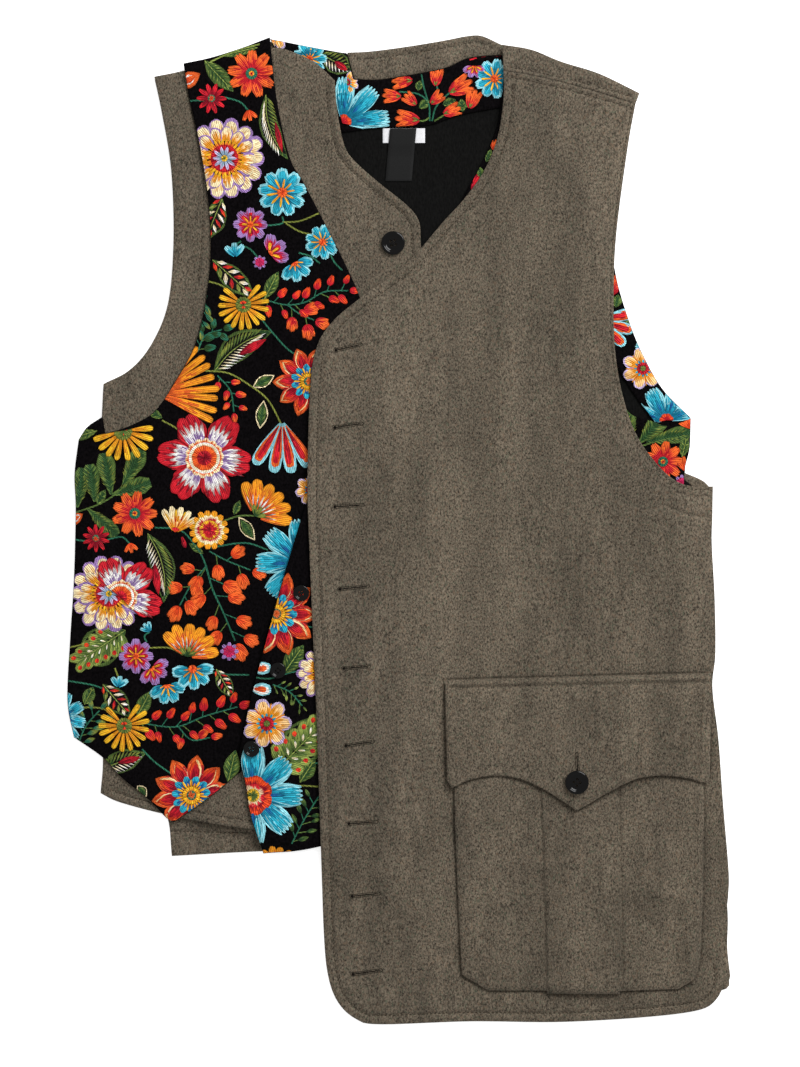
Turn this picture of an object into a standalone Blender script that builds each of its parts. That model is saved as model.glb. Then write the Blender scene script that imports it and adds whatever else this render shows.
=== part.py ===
"""A long wool waistcoat with a short embroidered waistcoat sewn inside it, laid flat with its front up.

Every piece of cloth is a wall of its own thickness. The pieces lie on one another in the order in which
they are sewn, and each one drapes over the edges of those beneath it, down to the surface at z = 0. X runs
to the right, as seen from above, and Y to the neck. The tables are in millimetres, the scene in metres.
"""

import math

import bpy
import bmesh
import numpy as np
from mathutils.geometry import delaunay_2d_cdt

MM = 0.001

# Cloth, in millimetres.
WOOL = 1.5
VELVET = 1.6
FACING = 1.2
LINING = 1.0
LABEL = 1.0
GAP = 0.3
FALL = 0.2  # the steepest slope at which cloth falls off an edge beneath it
SOFTENINGS = 3

# How finely the cloth is divided, in millimetres.
EDGE_STEP = 17.0
CURVE_SAMPLES = 16  # between two points of an edge
LATTICE = 25.0
CLEAR_OF_EDGES = 0.42  # of the lattice
SAME_PLACE = 1e-4
TRIANGLES = 0  # what the division is asked for

# The shoulder seam of the long front.
SEAM_OPENING = 0.35
ON_SEAM = 0.15

# Pocket, in millimetres.
POCKET_ROOM = 1.2  # between the pocket and the front that it is sewn to
POCKET_RIM = 2.2
PLEAT_RISE = 1.6
PLEAT_STEP = 1.2
POCKET_MOUTH = -150.0
PAST_MOUTH = -138.0

# Outlines. Each edge is one smooth curve through its own points and the first point of the next edge, so a
# corner stands wherever an edge starts. Columns: x, y, in millimetres.
SHOULDER_SEAM = ((88.5, 389.5), (120.5, 384), (162.5, 373), (200.5, 361))
WOOL_LEFT_YOKE = {
    "neck end": ((88.5, 389.5),),
    "ridge": ((87.5, 411.5), (113, 407), (138.5, 397), (170, 387)),
    "armhole end": ((204, 370.5),),
}

WOOL_LEFT_FRONT = {
    "armhole": ((200.5, 361), (194, 324), (184.5, 251.5), (182, 195.5), (183.5, 150), (190.5, 111),
                (202, 79.5), (220.5, 54), (236, 41), (250, 37)),
    "side": ((266.5, 37), (266, 10), (265.5, -12), (268, -59.5), (268.5, -105), (266, -134), (271.5, -180),
             (275, -229.5), (280, -290)),
    "vent": ((279.5, -312), (276.5, -340)),
    "hem": ((274.5, -368), (275.5, -384), (269.5, -398.5), (254, -408), (207.5, -414), (137, -418),
            (60.5, -417.5), (-16, -420), (-36.5, -415.5), (-52, -401), (-60.5, -377.5), (-64, -340)),
    "front edge": ((-66.5, -263.5), (-70.5, -144.5), (-75.5, -25.5), (-77.5, 42.5), (-75, 123), (-69, 157),
                   (-54.5, 178.5)),
    "neck": ((-30, 199), (7, 227), (38, 262), (55, 280.5), (72, 304.5), (83.5, 333), (88.5, 365.5)),
}
WOOL_RIGHT_FRONT = {
    "shoulder": ((-208, 385), (-183, 390), (-135, 401), (-108, 409), (-92.5, 406.5), (-72, 397)),
    "neck": ((-54.5, 381.5), (-52, 353), (-46, 325.5), (-36.5, 312), (-16, 294), (7, 275.5), (17, 262)),
    "front edge": ((18.5, 244), (21, 170), (20.5, -25.5)),
    "hem": ((11, -258.5), (-58.5, -258.5), (-122.5, -254), (-166.5, -247.5), (-202.5, -240.5),
            (-238, -231)),
    "side": ((-253.5, -223.5), (-251.5, -193), (-255, -144.5), (-256.5, -25.5), (-253.5, 68)),
    "armhole": ((-251, 124), (-228.5, 136), (-210, 158), (-196, 193), (-191.5, 246.5), (-193.5, 306),
                (-201.5, 354.5)),
}
EMBROIDERED_RIGHT_FRONT = {
    "shoulder": ((-183, 396), (-159, 401), (-132, 409.5)),
    "neck": ((-109.5, 418), (-103.5, 364), (-92.5, 315.5), (-80, 293), (-50, 234.5), (-32.5, 195.5),
             (-21, 153), (-23, 93.5)),
    "front edge": ((-41.5, 25.5), (-77.5, -93.5)),
    "point": ((-101, -180), (-136, -206.5), (-156.5, -223.5), (-185.5, -244), (-194.5, -246.5),
              (-212.5, -228.5), (-235.5, -210), (-251.5, -193)),
    "side": ((-276, -176), (-281.5, -144.5), (-279, -90), (-276, -42.5), (-274.5, 17), (-275.5, 47)),
    "underarm": ((-272, 76.5), (-264.5, 87.5)),
    "notch": ((-251.5, 96),),
    "armhole": ((-249, 81.5), (-228, 88.5), (-207.5, 100.5), (-189.5, 126.5), (-171, 163), (-160.5, 221),
                (-161.5, 276), (-170, 330.5), (-177.5, 364)),
}
EMBROIDERED_LEFT_FRONT = {
    "shoulder": ((90, 401), (137, 391)),
    "armhole": ((194.5, 367), (181, 331.5), (171, 280.5), (167.5, 229.5), (171, 178.5), (181, 132),
                (194.5, 101), (215, 92.5), (228.5, 88.5)),
    "side": ((247.5, 94.5), (246.5, 69.5), (242, 42.5), (247.5, -8.5), (252.5, -93.5)),
    "hem": ((251, -163), (171, -195.5), (43.5, -236.5), (-66.5, -268.5)),
    "cutaway": ((-115, -274.5), (-126, -241.5), (-130, -217)),
    "front edge": ((-136, -191), (-126.5, -146), (-111.5, -88.5), (-93.5, -25.5), (-74, 34), (-50, 79),
                   (-9.5, 157), (26.5, 222.5), (53.5, 280.5), (65.5, 302.5), (79, 330.5), (86, 355.5)),
}
BACK_WOOL = {
    "left shoulder": ((-205, 383.5), (-181, 387.5), (-132, 405.5)),
    "neck": ((-109.5, 415), (-76.5, 408), (-44, 404.5), (7, 409), (37.5, 414), (64.5, 418)),
    "right shoulder": ((86, 409), (113, 404.5), (138.5, 394.5), (170, 384)),
    "right armhole": ((201.5, 368), (191, 324), (179.5, 251.5), (180.5, 222), (190, 184), (200, 157),
                      (212.5, 131), (225, 113.5)),
    "right underarm": ((245, 93.5), (244, 69.5)),
    "right corner": ((243, 48.5), (258, 42)),
    "right side": ((264.5, 35.5), (263.5, 10), (262.5, -15.5), (265, -59.5), (265, -115), (263.5, -136),
                   (269.5, -180), (272.5, -229.5), (277.5, -297.5), (279.5, -330), (279, -355)),
    "hem": ((281.5, -379), (271, -391.5), (188, -387), (43.5, -336), (-50, -272), (-116.5, -273)),
    "tail": ((-193, -277), (-197, -244), (-211.5, -233)),
    "left side": ((-248, -219.5), (-248, -199), (-261, -182), (-273, -173.5), (-278, -144.5),
                  (-275.5, -90), (-273, -42.5), (-271, 17), (-272, 47)),
    "left underarm": ((-268.5, 75), (-262, 85)),
    "left armhole": ((-249, 94.5), (-248, 122.5), (-227, 133.5), (-209, 155.5), (-194.5, 192),
                     (-189.5, 246.5), (-191, 306), (-199, 354.5)),
}
BACK_LINING = {
    "top": ((-172.5, 374), (-116.5, 394.5), (-63, 369), (-7, 365.5), (43.5, 372.5), (94.5, 386),
            (137, 379)),
    "right armhole": ((194.5, 360.5), (181, 306), (171.5, 246.5), (175, 210), (186, 176), (203, 142),
                      (221, 110)),
    "right side": ((238, 89), (237, 50), (254, 25.5), (256, -59.5)),
    "hem": ((257.5, -173.5),),
    "left side": ((-268, -168.5), (-273, -144.5), (-271, -90), (-268.5, -25.5), (-267, 34)),
    "left underarm": ((-262.5, 71.5),),
    "left armhole": ((-244, 89), (-242, 117.5), (-222, 130), (-203, 153), (-188.5, 192),
                     (-183.5, 246.5), (-185.5, 306)),
}
NECK_BAND = {
    "top": ((-44, 405.5), (-24, 406.5), (7, 410.5), (37.5, 415.5), (58.5, 419.5), (70.5, 419.5),
            (86, 410.5)),
    "right end": ((97, 407),),
    "bottom": ((97, 404), (61, 401.5), (41.5, 393.5), (22, 389), (-7, 384), (-20.5, 382.5)),
    "left end": ((-38, 383),),
}
NECK_FACING = {
    "shoulder": ((-109.5, 417), (-76.5, 410.5), (-52.5, 406)),
    "band end": ((-44.5, 405),),
    "band seam": ((-38.5, 382.5), (-20.5, 382), (-7, 383.5), (22, 388.5), (41.5, 393), (61, 401)),
    "right end": ((98, 403.5),),
    "bottom": ((99, 361), (53, 352.5), (32.5, 345.5), (22, 343.5), (-11, 341.5), (-26.5, 340.5),
               (-48.5, 337.5)),
    "left end": ((-62, 339.5), (-69, 365.5), (-93, 387)),
}
ARMHOLE_FACING = {
    "outer edge": ((182, 227.5), (187, 204), (196.5, 174), (205, 153), (217.5, 129), (228.5, 114)),
    "underarm": ((247.5, 95.5),),
    "side": ((247, 70),),
    "inner edge": ((226, 80), (212, 98), (195, 122), (180, 150), (173, 190)),
}
FLAP = {
    "seam": ((39, -127.5),),
    "right edge": ((264.5, -121.5),),
    "right scallop": ((263, -213), (256, -214), (247.5, -211), (223.5, -208), (200.5, -211), (179.5, -221),
                      (162.5, -231)),
    "left scallop": ((150.5, -238), (137, -228.5), (120.5, -218.5), (103, -211), (81.5, -208),
                     (60.5, -211.5)),
    "left corner": ((45, -218.5),),
    "left edge": ((41, -213),),
}
POCKET = {
    "mouth": ((47.5, -148.5),),
    "right edge": ((256.5, -144.5), (258.5, -229.5), (257.5, -314.5), (255, -364)),
    "right corner": ((250.5, -381),),
    "right hem": ((237, -389.5),),
    "pleat right": ((187.5, -391),),
    "pleat hem": ((187.5, -393.5),),
    "pleat left": ((126, -393.5),),
    "left hem": ((126, -391),),
    "left corner": ((75.5, -391),),
    "left edge": ((53.5, -377.5), (49.5, -297.5), (47, -217.5)),
}
PLEAT = {
    "right fold": ((184, -138), (184.5, -221), (186.5, -314)),
    "right end": ((187.5, -391),),
    "hem": ((187.5, -393.5),),
    "left end": ((126, -393.5),),
    "left fold": ((126, -391), (124, -314), (121, -218)),
    "mouth": ((120, -140),),
}

# Where the back and its lining hold up what lies on them: above these lines, out past every edge.
PAST_EDGES = 320.0
PAST_HEM = 3.0
PAST_TOP = 450.0
BACK_ENDS = ((-PAST_EDGES, -277), (-193, -277), (-116.5, -273), (-50, -272), (43.5, -336), (188, -387),
             (266, -394.5))
LINING_ENDS = ((-PAST_EDGES, -168), (PAST_EDGES, -174))

# Soft folds of the long front, which fade towards both ends. Columns: name, from x, from y, to x, to y,
# width, rise, in millimetres.
FOLD_END = 0.1  # how far round its half turn a fold starts
FOLDS = (
    ("chest, beside the placket", 30, 150, 5, -60, 16, 1.2),
    ("chest, middle", 92, 280, 86, -40, 18, 1.0),
    ("chest, right", 150, 120, 160, -70, 14, 1.1),
    ("underarm", 196, 40, 184, -90, 14, 1.3),
    ("waist, front edge", -52, 120, -30, 40, 16, 1.0),
    ("hem, beside the pocket", 5, -250, -10, -370, 20, 1.4),
    ("hem, front edge", -40, -285, 20, -292, 14, 0.9),
)

# Buttons. Columns: name, x, y, radius, thickness, the panel beneath, in millimetres.
BUTTONS = (
    ("neck_button", -5, 243.5, 10, 3.2, "wool_right_front"),
    ("pocket_button", 150.5, -213.5, 10, 3.6, "pocket_flap"),
    ("waistcoat_button_1", -82.8, -53.5, 6.8, 2.6, "embroidered_left_front"),
    ("waistcoat_button_2", -102.5, -119, 6.8, 2.6, "embroidered_left_front"),
    ("waistcoat_button_3", -125, -185.5, 6.8, 2.6, "embroidered_left_front"),
)
# A button's turned profile. Columns: share of the radius, share of the thickness.
BUTTON_PROFILE = ((0, 0), (0.62, 0), (0.92, 0.28), (1.0, 0.55), (0.97, 0.86), (0.86, 1.0), (0.72, 0.94),
                  (0.58, 0.66), (0, 0.6))
BUTTON_SIDES = 20
BUTTON_HOLES = 4
HOLE_SIDES = 6
HOLE_RADIUS = 0.11  # of the button's radius
HOLES_OUT = 0.26  # of the button's radius

# Labels at the back of the neck. Columns: x from, x to, in millimetres.
LABEL_X = (-10, 14.5)
SIZE_TAB_X = (-13, 22)
SIZE_TAB_Y = (341.0, 329.5)
# The label hangs over the tab. Columns: y, height above the lining, in millimetres.
LABEL_FALL = ((340.8, 1.6), (327.5, 1.6), (320.5, 0.3), (296, 0.3))

# The pieces over which the plane is divided finely.
COVERED = ("wool_right_front", "embroidered_right_front", "embroidered_left_front", "wool_left_front",
           "wool_left_yoke")

# Materials. Columns: red, green, blue, roughness.
FINISHES = {
    "wool": (0.155, 0.135, 0.112, 0.95),
    "embroidery": (0.30, 0.06, 0.04, 0.80),
    "lining": (0.012, 0.012, 0.013, 0.60),
    "label": (0.015, 0.015, 0.015, 0.70),
    "tab": (0.75, 0.75, 0.73, 0.80),
    "button": (0.010, 0.009, 0.009, 0.20),
}


def clear_scene():
    """Removes every object that the scene starts with."""
    for thing in list(bpy.data.objects):
        bpy.data.objects.remove(thing, do_unlink=True)


def smooth_curve(points, step=EDGE_STEP):
    """Points one step apart on the Catmull-Rom curve through the given ones, all but the last one."""
    points = np.array(points, float)
    if len(points) > 2:
        before = 2 * points[0] - points[1]
        after = 2 * points[-1] - points[-2]
        knots = np.vstack([before, points, after])
        share = np.linspace(0, 1, CURVE_SAMPLES, endpoint=False)[:, None]
        pieces = []
        for a, b, c, d in zip(knots, knots[1:], knots[2:], knots[3:]):
            bend = 2 * b + (c - a) * share + (2 * a - 5 * b + 4 * c - d) * share**2
            pieces.append(0.5 * (bend + (3 * b - 3 * c + d - a) * share**3))
        points = np.vstack(pieces + [points[-1:]])
    along = np.concatenate([[0], np.cumsum(np.linalg.norm(np.diff(points, axis=0), axis=1))])
    count = max(1, round(along[-1] / step))
    stops = np.linspace(0, along[-1], count, endpoint=False)
    return np.column_stack([np.interp(stops, along, points[:, k]) for k in (0, 1)])


def outline_of(edges, start=()):
    """The closed outline of a table of edges, after any points that already have their place."""
    edges = list(edges.values()) if isinstance(edges, dict) else list(edges)
    closing = start[0] if len(start) else edges[0][0]
    firsts = [edge[0] for edge in edges[1:]] + [closing]
    curves = [smooth_curve(tuple(edge) + (first,)) for edge, first in zip(edges, firsts)]
    return np.vstack(([np.array(start)] if len(start) else []) + curves)


def area_of(outline):
    """Twice the signed area: positive where the outline runs anticlockwise."""
    x, y = outline.T
    return float(np.dot(x, np.roll(y, -1)) - np.dot(y, np.roll(x, -1)))


def inside(points, outline):
    """Which points lie inside an outline."""
    x, y = points.T
    hits = np.zeros(len(points), bool)
    for (x0, y0), (x1, y1) in zip(outline, np.roll(outline, -1, axis=0)):
        if y0 == y1:
            continue
        crosses = (y0 > y) != (y1 > y)
        hits ^= crosses & (x < (x1 - x0) * (y - y0) / (y1 - y0) + x0)
    return hits


def finish_named(name):
    """The material of that name."""
    found = bpy.data.materials.get(name)
    if found:
        return found
    red, green, blue, roughness = FINISHES[name]
    material = bpy.data.materials.new(name)
    material.use_nodes = True
    material.diffuse_color = (red, green, blue, 1)
    shader = material.node_tree.nodes["Principled BSDF"]
    shader.inputs["Base Color"].default_value = (red, green, blue, 1)
    shader.inputs["Roughness"].default_value = roughness
    shader.inputs["Metallic"].default_value = 0
    return material


def keep(name, bm, finish):
    """Turns a bmesh in millimetres into a named object with its faces pointing out."""
    bmesh.ops.recalc_face_normals(bm, faces=bm.faces)
    if bm.calc_volume(signed=True) < 0:
        bmesh.ops.reverse_faces(bm, faces=bm.faces)
    bmesh.ops.scale(bm, vec=(MM, MM, MM), verts=bm.verts)
    mesh = bpy.data.meshes.new(name)
    bm.to_mesh(mesh)
    bm.free()
    mesh.materials.append(finish_named(finish))
    piece = bpy.data.objects.new(name, mesh)
    bpy.context.scene.collection.objects.link(piece)
    return piece


def flat_piece(name, outline, low, thickness, finish):
    """A piece of cloth that lies flat, all at one height."""
    bm = bmesh.new()
    face = bm.faces.new([bm.verts.new((x, y, low)) for x, y in outline])
    bmesh.ops.triangulate(bm, faces=[face])
    raised = bmesh.ops.extrude_face_region(bm, geom=bm.faces[:], use_keep_orig=True)["geom"]
    tops = [v for v in raised if isinstance(v, bmesh.types.BMVert)]
    bmesh.ops.translate(bm, vec=(0, 0, thickness), verts=tops)
    return keep(name, bm, finish)


class Draping:
    """One division of the plane, shared by every draped piece, and the stack's height at its points."""

    def __init__(self, outlines, lines, covered):
        self.index = {}
        names = list(outlines)
        turned = [outline if area_of(outline) > 0 else outline[::-1] for outline in outlines.values()]
        loops = [self.numbers(outline) for outline in turned]
        strokes = [self.numbers(line) for line in lines]
        edges = [pair for stroke in strokes for pair in zip(stroke, stroke[1:])]
        drawn = np.array(list(self.index))
        self.numbers(self.lattice(drawn, [outlines[name] for name in covered]))
        points, _, faces, _, _, sources = delaunay_2d_cdt(list(self.index), edges, loops, TRIANGLES,
                                                            SAME_PLACE)
        self.points = np.array([tuple(point) for point in points])
        self.faces = {name: [] for name in names}
        for face, found in zip(faces, sources):
            for number in set(found):
                self.faces[names[number]].append(tuple(face))
        self.top = np.zeros(len(self.points))
        self.tops = {}

    def numbers(self, points):
        """The numbers of some points, each place counted once."""
        keys = [(round(float(x), 3), round(float(y), 3)) for x, y in points]
        return [self.index.setdefault(key, len(self.index)) for key in keys]

    @staticmethod
    def lattice(drawn, panels):
        """Staggered rows of points inside the panels, clear of every drawn edge."""
        row = LATTICE * math.sqrt(3) / 2
        low, high = drawn.min(axis=0), drawn.max(axis=0)
        spots = []
        for number, y in enumerate(np.arange(low[1], high[1], row)):
            shift = LATTICE / 2 * (number % 2)
            spots += [(x, y) for x in np.arange(low[0] + shift, high[0], LATTICE)]
        spots = np.array(spots)
        spots = spots[np.any([inside(spots, panel) for panel in panels], axis=0)]
        nearest = np.linalg.norm(spots[:, None] - drawn[None], axis=2).min(axis=1)
        return spots[nearest > CLEAR_OF_EDGES * LATTICE]

    def members(self, *names):
        """The numbers of the points that some pieces cover."""
        return np.unique(np.array([face for name in names for face in self.faces[name]]))

    def lay(self, name, height):
        """Puts a flat layer in the stack: nothing above it lies lower than its top."""
        mine = self.members(name)
        self.top[mine] = np.maximum(self.top[mine], height)

    def rest(self, *names):
        """The underside of some joined pieces: on what lies beneath, falling softly off its edges."""
        mine = self.members(*names)
        spots = self.points[mine]
        floor = np.where(self.top[mine] > 0, self.top[mine] + GAP, 0)
        away = np.linalg.norm(spots[:, None] - spots[None], axis=2)
        under = np.maximum(0, (floor[None] - FALL * away).max(axis=1))
        corners = np.searchsorted(mine, np.array([face for name in names for face in self.faces[name]]))
        start, end = corners.ravel(), np.roll(corners, -1, axis=1).ravel()
        count = 1 + np.bincount(start, minlength=len(mine)) + np.bincount(end, minlength=len(mine))
        for _ in range(SOFTENINGS):
            total = under.copy()
            np.add.at(total, start, under[end])
            np.add.at(total, end, under[start])
            under = np.maximum(floor, total / count)
        low = np.zeros(len(self.points))
        low[mine] = under
        return low

    def piece(self, name, low, high, finish, shift=0):
        """The solid between two heights over a piece's points, which may shift sideways."""
        bm = bmesh.new()
        mine = self.members(name)
        spots = self.points[mine] + shift
        corners = {n: bm.verts.new((x, y, low[n])) for n, (x, y) in zip(mine, spots)}
        rises = {tuple(corner.co): high[n] - low[n] for n, corner in corners.items()}
        for face in self.faces[name]:
            bm.faces.new([corners[n] for n in face])
        raised = bmesh.ops.extrude_face_region(bm, geom=bm.faces[:], use_keep_orig=True)["geom"]
        for corner in raised:
            if isinstance(corner, bmesh.types.BMVert):
                corner.co.z += rises[tuple(corner.co)]
        self.tops[name] = high
        return keep(name, bm, finish)

    def cover(self, name, high):
        """Makes a finished piece a floor for the next ones."""
        mine = self.members(name)
        self.top[mine] = high[mine]

    def cloth(self, name, thickness, finish):
        """A wall of cloth that drapes over everything laid before it."""
        low = self.rest(name)
        self.piece(name, low, low + thickness, finish)
        self.cover(name, low + thickness)

    def height(self, name, spot):
        """The top of a piece at a place."""
        high = self.tops[name]
        for face in self.faces[name]:
            a, b, c = self.points[list(face)]
            weights = np.linalg.solve(np.array([(*a, 1), (*b, 1), (*c, 1)]).T, (*spot, 1))
            if weights.min() > -1e-6:
                return float(weights @ high[list(face)])
        raise ValueError(f"{name} does not reach {spot}")


def fold_lift(spots):
    """How far the soft folds raise the long front at some points."""
    lift = np.zeros(len(spots))
    for _, x0, y0, x1, y1, width, rise in FOLDS:
        start = np.array((x0, y0), float)
        run = np.array((x1, y1), float) - start
        along = np.clip((spots - start) @ run / (run @ run), 0, 1)
        away = np.linalg.norm(spots - start - along[:, None] * run, axis=1)
        fade = np.sin(math.pi * (FOLD_END + (1 - 2 * FOLD_END) * along))
        lift += rise * np.exp(-((away / width) ** 2)) * fade
    return lift


def moved_inward(outline, distance):
    """An outline moved inward by a distance."""
    turn = 1 if area_of(outline) > 0 else -1
    run = np.roll(outline, -1, axis=0) - np.roll(outline, 1, axis=0)
    run /= np.linalg.norm(run, axis=1)[:, None]
    return outline + turn * distance * np.column_stack([-run[:, 1], run[:, 0]])


def make_long_front(draping, seam):
    """The long front and its yoke: one drape, cut along the shoulder seam and parted there by the gap."""
    names = "wool_left_front", "wool_left_yoke"
    low = draping.rest(*names)
    mine = draping.members(*names)
    low[mine] += fold_lift(draping.points[mine])
    for name, side in zip(names, (-1, 1)):
        spots = draping.points[draping.members(name)]
        on_seam = np.linalg.norm(spots[:, None] - seam[None], axis=2).min(axis=1) < ON_SEAM
        parting = np.outer(on_seam, (0, side * SEAM_OPENING / 2))
        draping.piece(name, low, low + WOOL, "wool", parting)
    for name in names:
        draping.cover(name, low + WOOL)


def make_pocket(draping):
    """The bellows pocket: a raised front with a box pleat, and a rim that comes down to the long front."""
    mine = draping.members("pocket_body")
    under = draping.rest("pocket_body")
    low = under.copy()
    low[mine] += POCKET_ROOM
    low[np.intersect1d(mine, draping.members("pleat"))] += PLEAT_RISE
    high = low + WOOL
    rim = np.setdiff1d(mine, draping.members("pocket room"))
    low[rim] = under[rim]
    draping.piece("pocket_body", low, high, "wool")
    draping.cover("pocket_body", high)


def outlines_of_all(seam):
    """Every outline that the draped pieces meet, and how far the flat ones beneath hold them up."""
    back_ends = smooth_curve(BACK_ENDS + ((PAST_EDGES, BACK_ENDS[-1][1]),))
    lining_ends = smooth_curve(LINING_ENDS)
    right = ((PAST_EDGES, BACK_ENDS[-1][1]), (PAST_EDGES, PAST_TOP), (-PAST_EDGES, PAST_TOP))
    room = moved_inward(outline_of(POCKET), POCKET_RIM)
    room = room[room[:, 1] < POCKET_MOUTH]
    past_mouth = np.array([(room[-1, 0], PAST_MOUTH), (room[0, 0], PAST_MOUTH)])
    return {
        "back": np.vstack([back_ends, right]) - (0, PAST_HEM),
        "lining": np.vstack([lining_ends, LINING_ENDS[-1:], right[1:]]) - (0, PAST_HEM),
        "neck band": outline_of(NECK_BAND),
        "neck facing": outline_of(NECK_FACING),
        "armhole facing": outline_of(ARMHOLE_FACING),
        "wool_right_front": outline_of(WOOL_RIGHT_FRONT),
        "embroidered_right_front": outline_of(EMBROIDERED_RIGHT_FRONT),
        "embroidered_left_front": outline_of(EMBROIDERED_LEFT_FRONT),
        "wool_left_front": outline_of(WOOL_LEFT_FRONT, start=seam[:-1]),
        "wool_left_yoke": outline_of(WOOL_LEFT_YOKE, start=seam[:0:-1]),
        "pocket_body": outline_of(POCKET),
        "pocket room": np.vstack([room, past_mouth]),
        "pleat": outline_of(PLEAT),
        "pocket_flap": outline_of(FLAP),
    }


def pleat_steps():
    """The foot of each side of the box pleat."""
    steps = []
    for fold, end, side in (("right fold", "right end", 1), ("left fold", "mouth", -1)):
        points = PLEAT[fold] + PLEAT[end]
        foot = np.vstack([smooth_curve(points), points[-1]])
        steps.append(foot + (side * PLEAT_STEP, 0))
    return steps


def make_label(lining_top):
    """The plain woven label and the tab behind it."""
    x0, x1 = SIZE_TAB_X
    tab = np.array([(x0, y) for y in SIZE_TAB_Y] + [(x1, y) for y in SIZE_TAB_Y[::-1]])
    flat_piece("size_tab", tab, lining_top + GAP, LABEL, "tab")
    bm = bmesh.new()
    rows = []
    for y, height in LABEL_FALL:
        rows.append([bm.verts.new((x, y, lining_top + height)) for x in LABEL_X])
    for (a, b), (d, c) in zip(rows, rows[1:]):
        bm.faces.new((a, b, c, d))
    raised = bmesh.ops.extrude_face_region(bm, geom=bm.faces[:], use_keep_orig=True)["geom"]
    tops = [v for v in raised if isinstance(v, bmesh.types.BMVert)]
    bmesh.ops.translate(bm, vec=(0, 0, LABEL), verts=tops)
    keep("label", bm, "label")


def make_button(draping, name, x, y, radius, thickness, beneath):
    """A turned button with a raised rim and four sewing holes, on the panel beneath it."""
    turns = [2 * math.pi * k / BUTTON_SIDES for k in range(BUTTON_SIDES)]
    rim = [(x + radius * math.cos(turn), y + radius * math.sin(turn)) for turn in turns]
    low = max(draping.height(beneath, spot) for spot in rim + [(x, y)]) + GAP
    bm = bmesh.new()
    profile = [bm.verts.new((radius * out, 0, low + thickness * up)) for out, up in BUTTON_PROFILE]
    edges = [bm.edges.new(pair) for pair in zip(profile, profile[1:])]
    bmesh.ops.spin(bm, geom=profile + edges, axis=(0, 0, 1), cent=(0, 0, 0), angle=2 * math.pi,
                   steps=BUTTON_SIDES, use_merge=True)
    bmesh.ops.remove_doubles(bm, verts=bm.verts, dist=SAME_PLACE)
    bmesh.ops.translate(bm, vec=(x, y, 0), verts=bm.verts)
    button = keep(name, bm, "button")
    for number in range(BUTTON_HOLES):
        turn = 2 * math.pi * (number + 0.5) / BUTTON_HOLES
        place = (x + radius * HOLES_OUT * math.cos(turn), y + radius * HOLES_OUT * math.sin(turn), low)
        bm = bmesh.new()
        bmesh.ops.create_cone(bm, cap_ends=True, segments=HOLE_SIDES, radius1=radius * HOLE_RADIUS,
                              radius2=radius * HOLE_RADIUS, depth=4 * thickness)
        bmesh.ops.translate(bm, vec=place, verts=bm.verts)
        drill = keep(f"{name}_drill_{number}", bm, "button")
        drill.hide_render = True
        drill.display_type = "WIRE"
        cut = button.modifiers.new(f"hole {number}", "BOOLEAN")
        cut.operation = "DIFFERENCE"
        cut.object = drill


def main():
    clear_scene()
    back_top = WOOL
    lining_top = back_top + GAP + LINING
    facing_low = lining_top + GAP
    facing_top = facing_low + FACING
    band_top = back_top + GAP + WOOL

    flat_piece("back_wool", outline_of(BACK_WOOL), 0, WOOL, "wool")
    flat_piece("back_lining", outline_of(BACK_LINING), back_top + GAP, LINING, "lining")
    flat_piece("back_neck_band", outline_of(NECK_BAND), back_top + GAP, WOOL, "wool")
    flat_piece("back_neck_facing", outline_of(NECK_FACING), facing_low, FACING, "embroidery")
    flat_piece("back_armhole_facing", outline_of(ARMHOLE_FACING), facing_low, FACING, "embroidery")
    make_label(lining_top)

    seam = np.vstack([smooth_curve(SHOULDER_SEAM), SHOULDER_SEAM[-1]])
    draping = Draping(outlines_of_all(seam), pleat_steps(), COVERED)
    for name, height in (("back", back_top), ("lining", lining_top), ("neck band", band_top),
                         ("neck facing", facing_top), ("armhole facing", facing_top)):
        draping.lay(name, height)
    draping.cloth("wool_right_front", WOOL, "wool")
    draping.cloth("embroidered_right_front", VELVET, "embroidery")
    draping.cloth("embroidered_left_front", VELVET, "embroidery")
    make_long_front(draping, seam)
    make_pocket(draping)
    draping.cloth("pocket_flap", WOOL, "wool")
    for button in BUTTONS:
        make_button(draping, *button)


main()
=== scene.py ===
"""A long wool waistcoat with a short embroidered waistcoat sewn inside it, laid flat with its front up.

Every panel is a shell of cloth that drapes over the ones beneath it. Stitching, buttonholes, buttons and
embroidery lie on the panels. X runs to the right, as seen from above, Y to the neck and Z up. The tables
are in millimetres and degrees, the scene in metres. Left and right are the wearer's.
"""

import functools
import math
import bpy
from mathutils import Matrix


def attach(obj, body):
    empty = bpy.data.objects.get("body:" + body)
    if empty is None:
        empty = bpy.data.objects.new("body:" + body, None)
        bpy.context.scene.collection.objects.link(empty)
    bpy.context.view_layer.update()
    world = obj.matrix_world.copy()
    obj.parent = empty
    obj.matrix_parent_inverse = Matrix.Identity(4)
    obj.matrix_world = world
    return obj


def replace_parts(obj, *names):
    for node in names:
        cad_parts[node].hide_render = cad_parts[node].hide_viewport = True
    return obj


bl_info = {
    "name": "Embroidered Waistcoat",
    "version": (1, 0, 0),
    "blender": (4, 5, 0),
    "location": "View3D > Sidebar > Waistcoat",
    "description": "Lays out a wool waistcoat with an embroidered one inside it",
    "category": "Add Mesh",
}

import bmesh
import bpy
import numpy as np
from bpy.props import FloatProperty, FloatVectorProperty, PointerProperty
from mathutils.geometry import delaunay_2d_cdt
from mathutils.kdtree import KDTree

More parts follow.
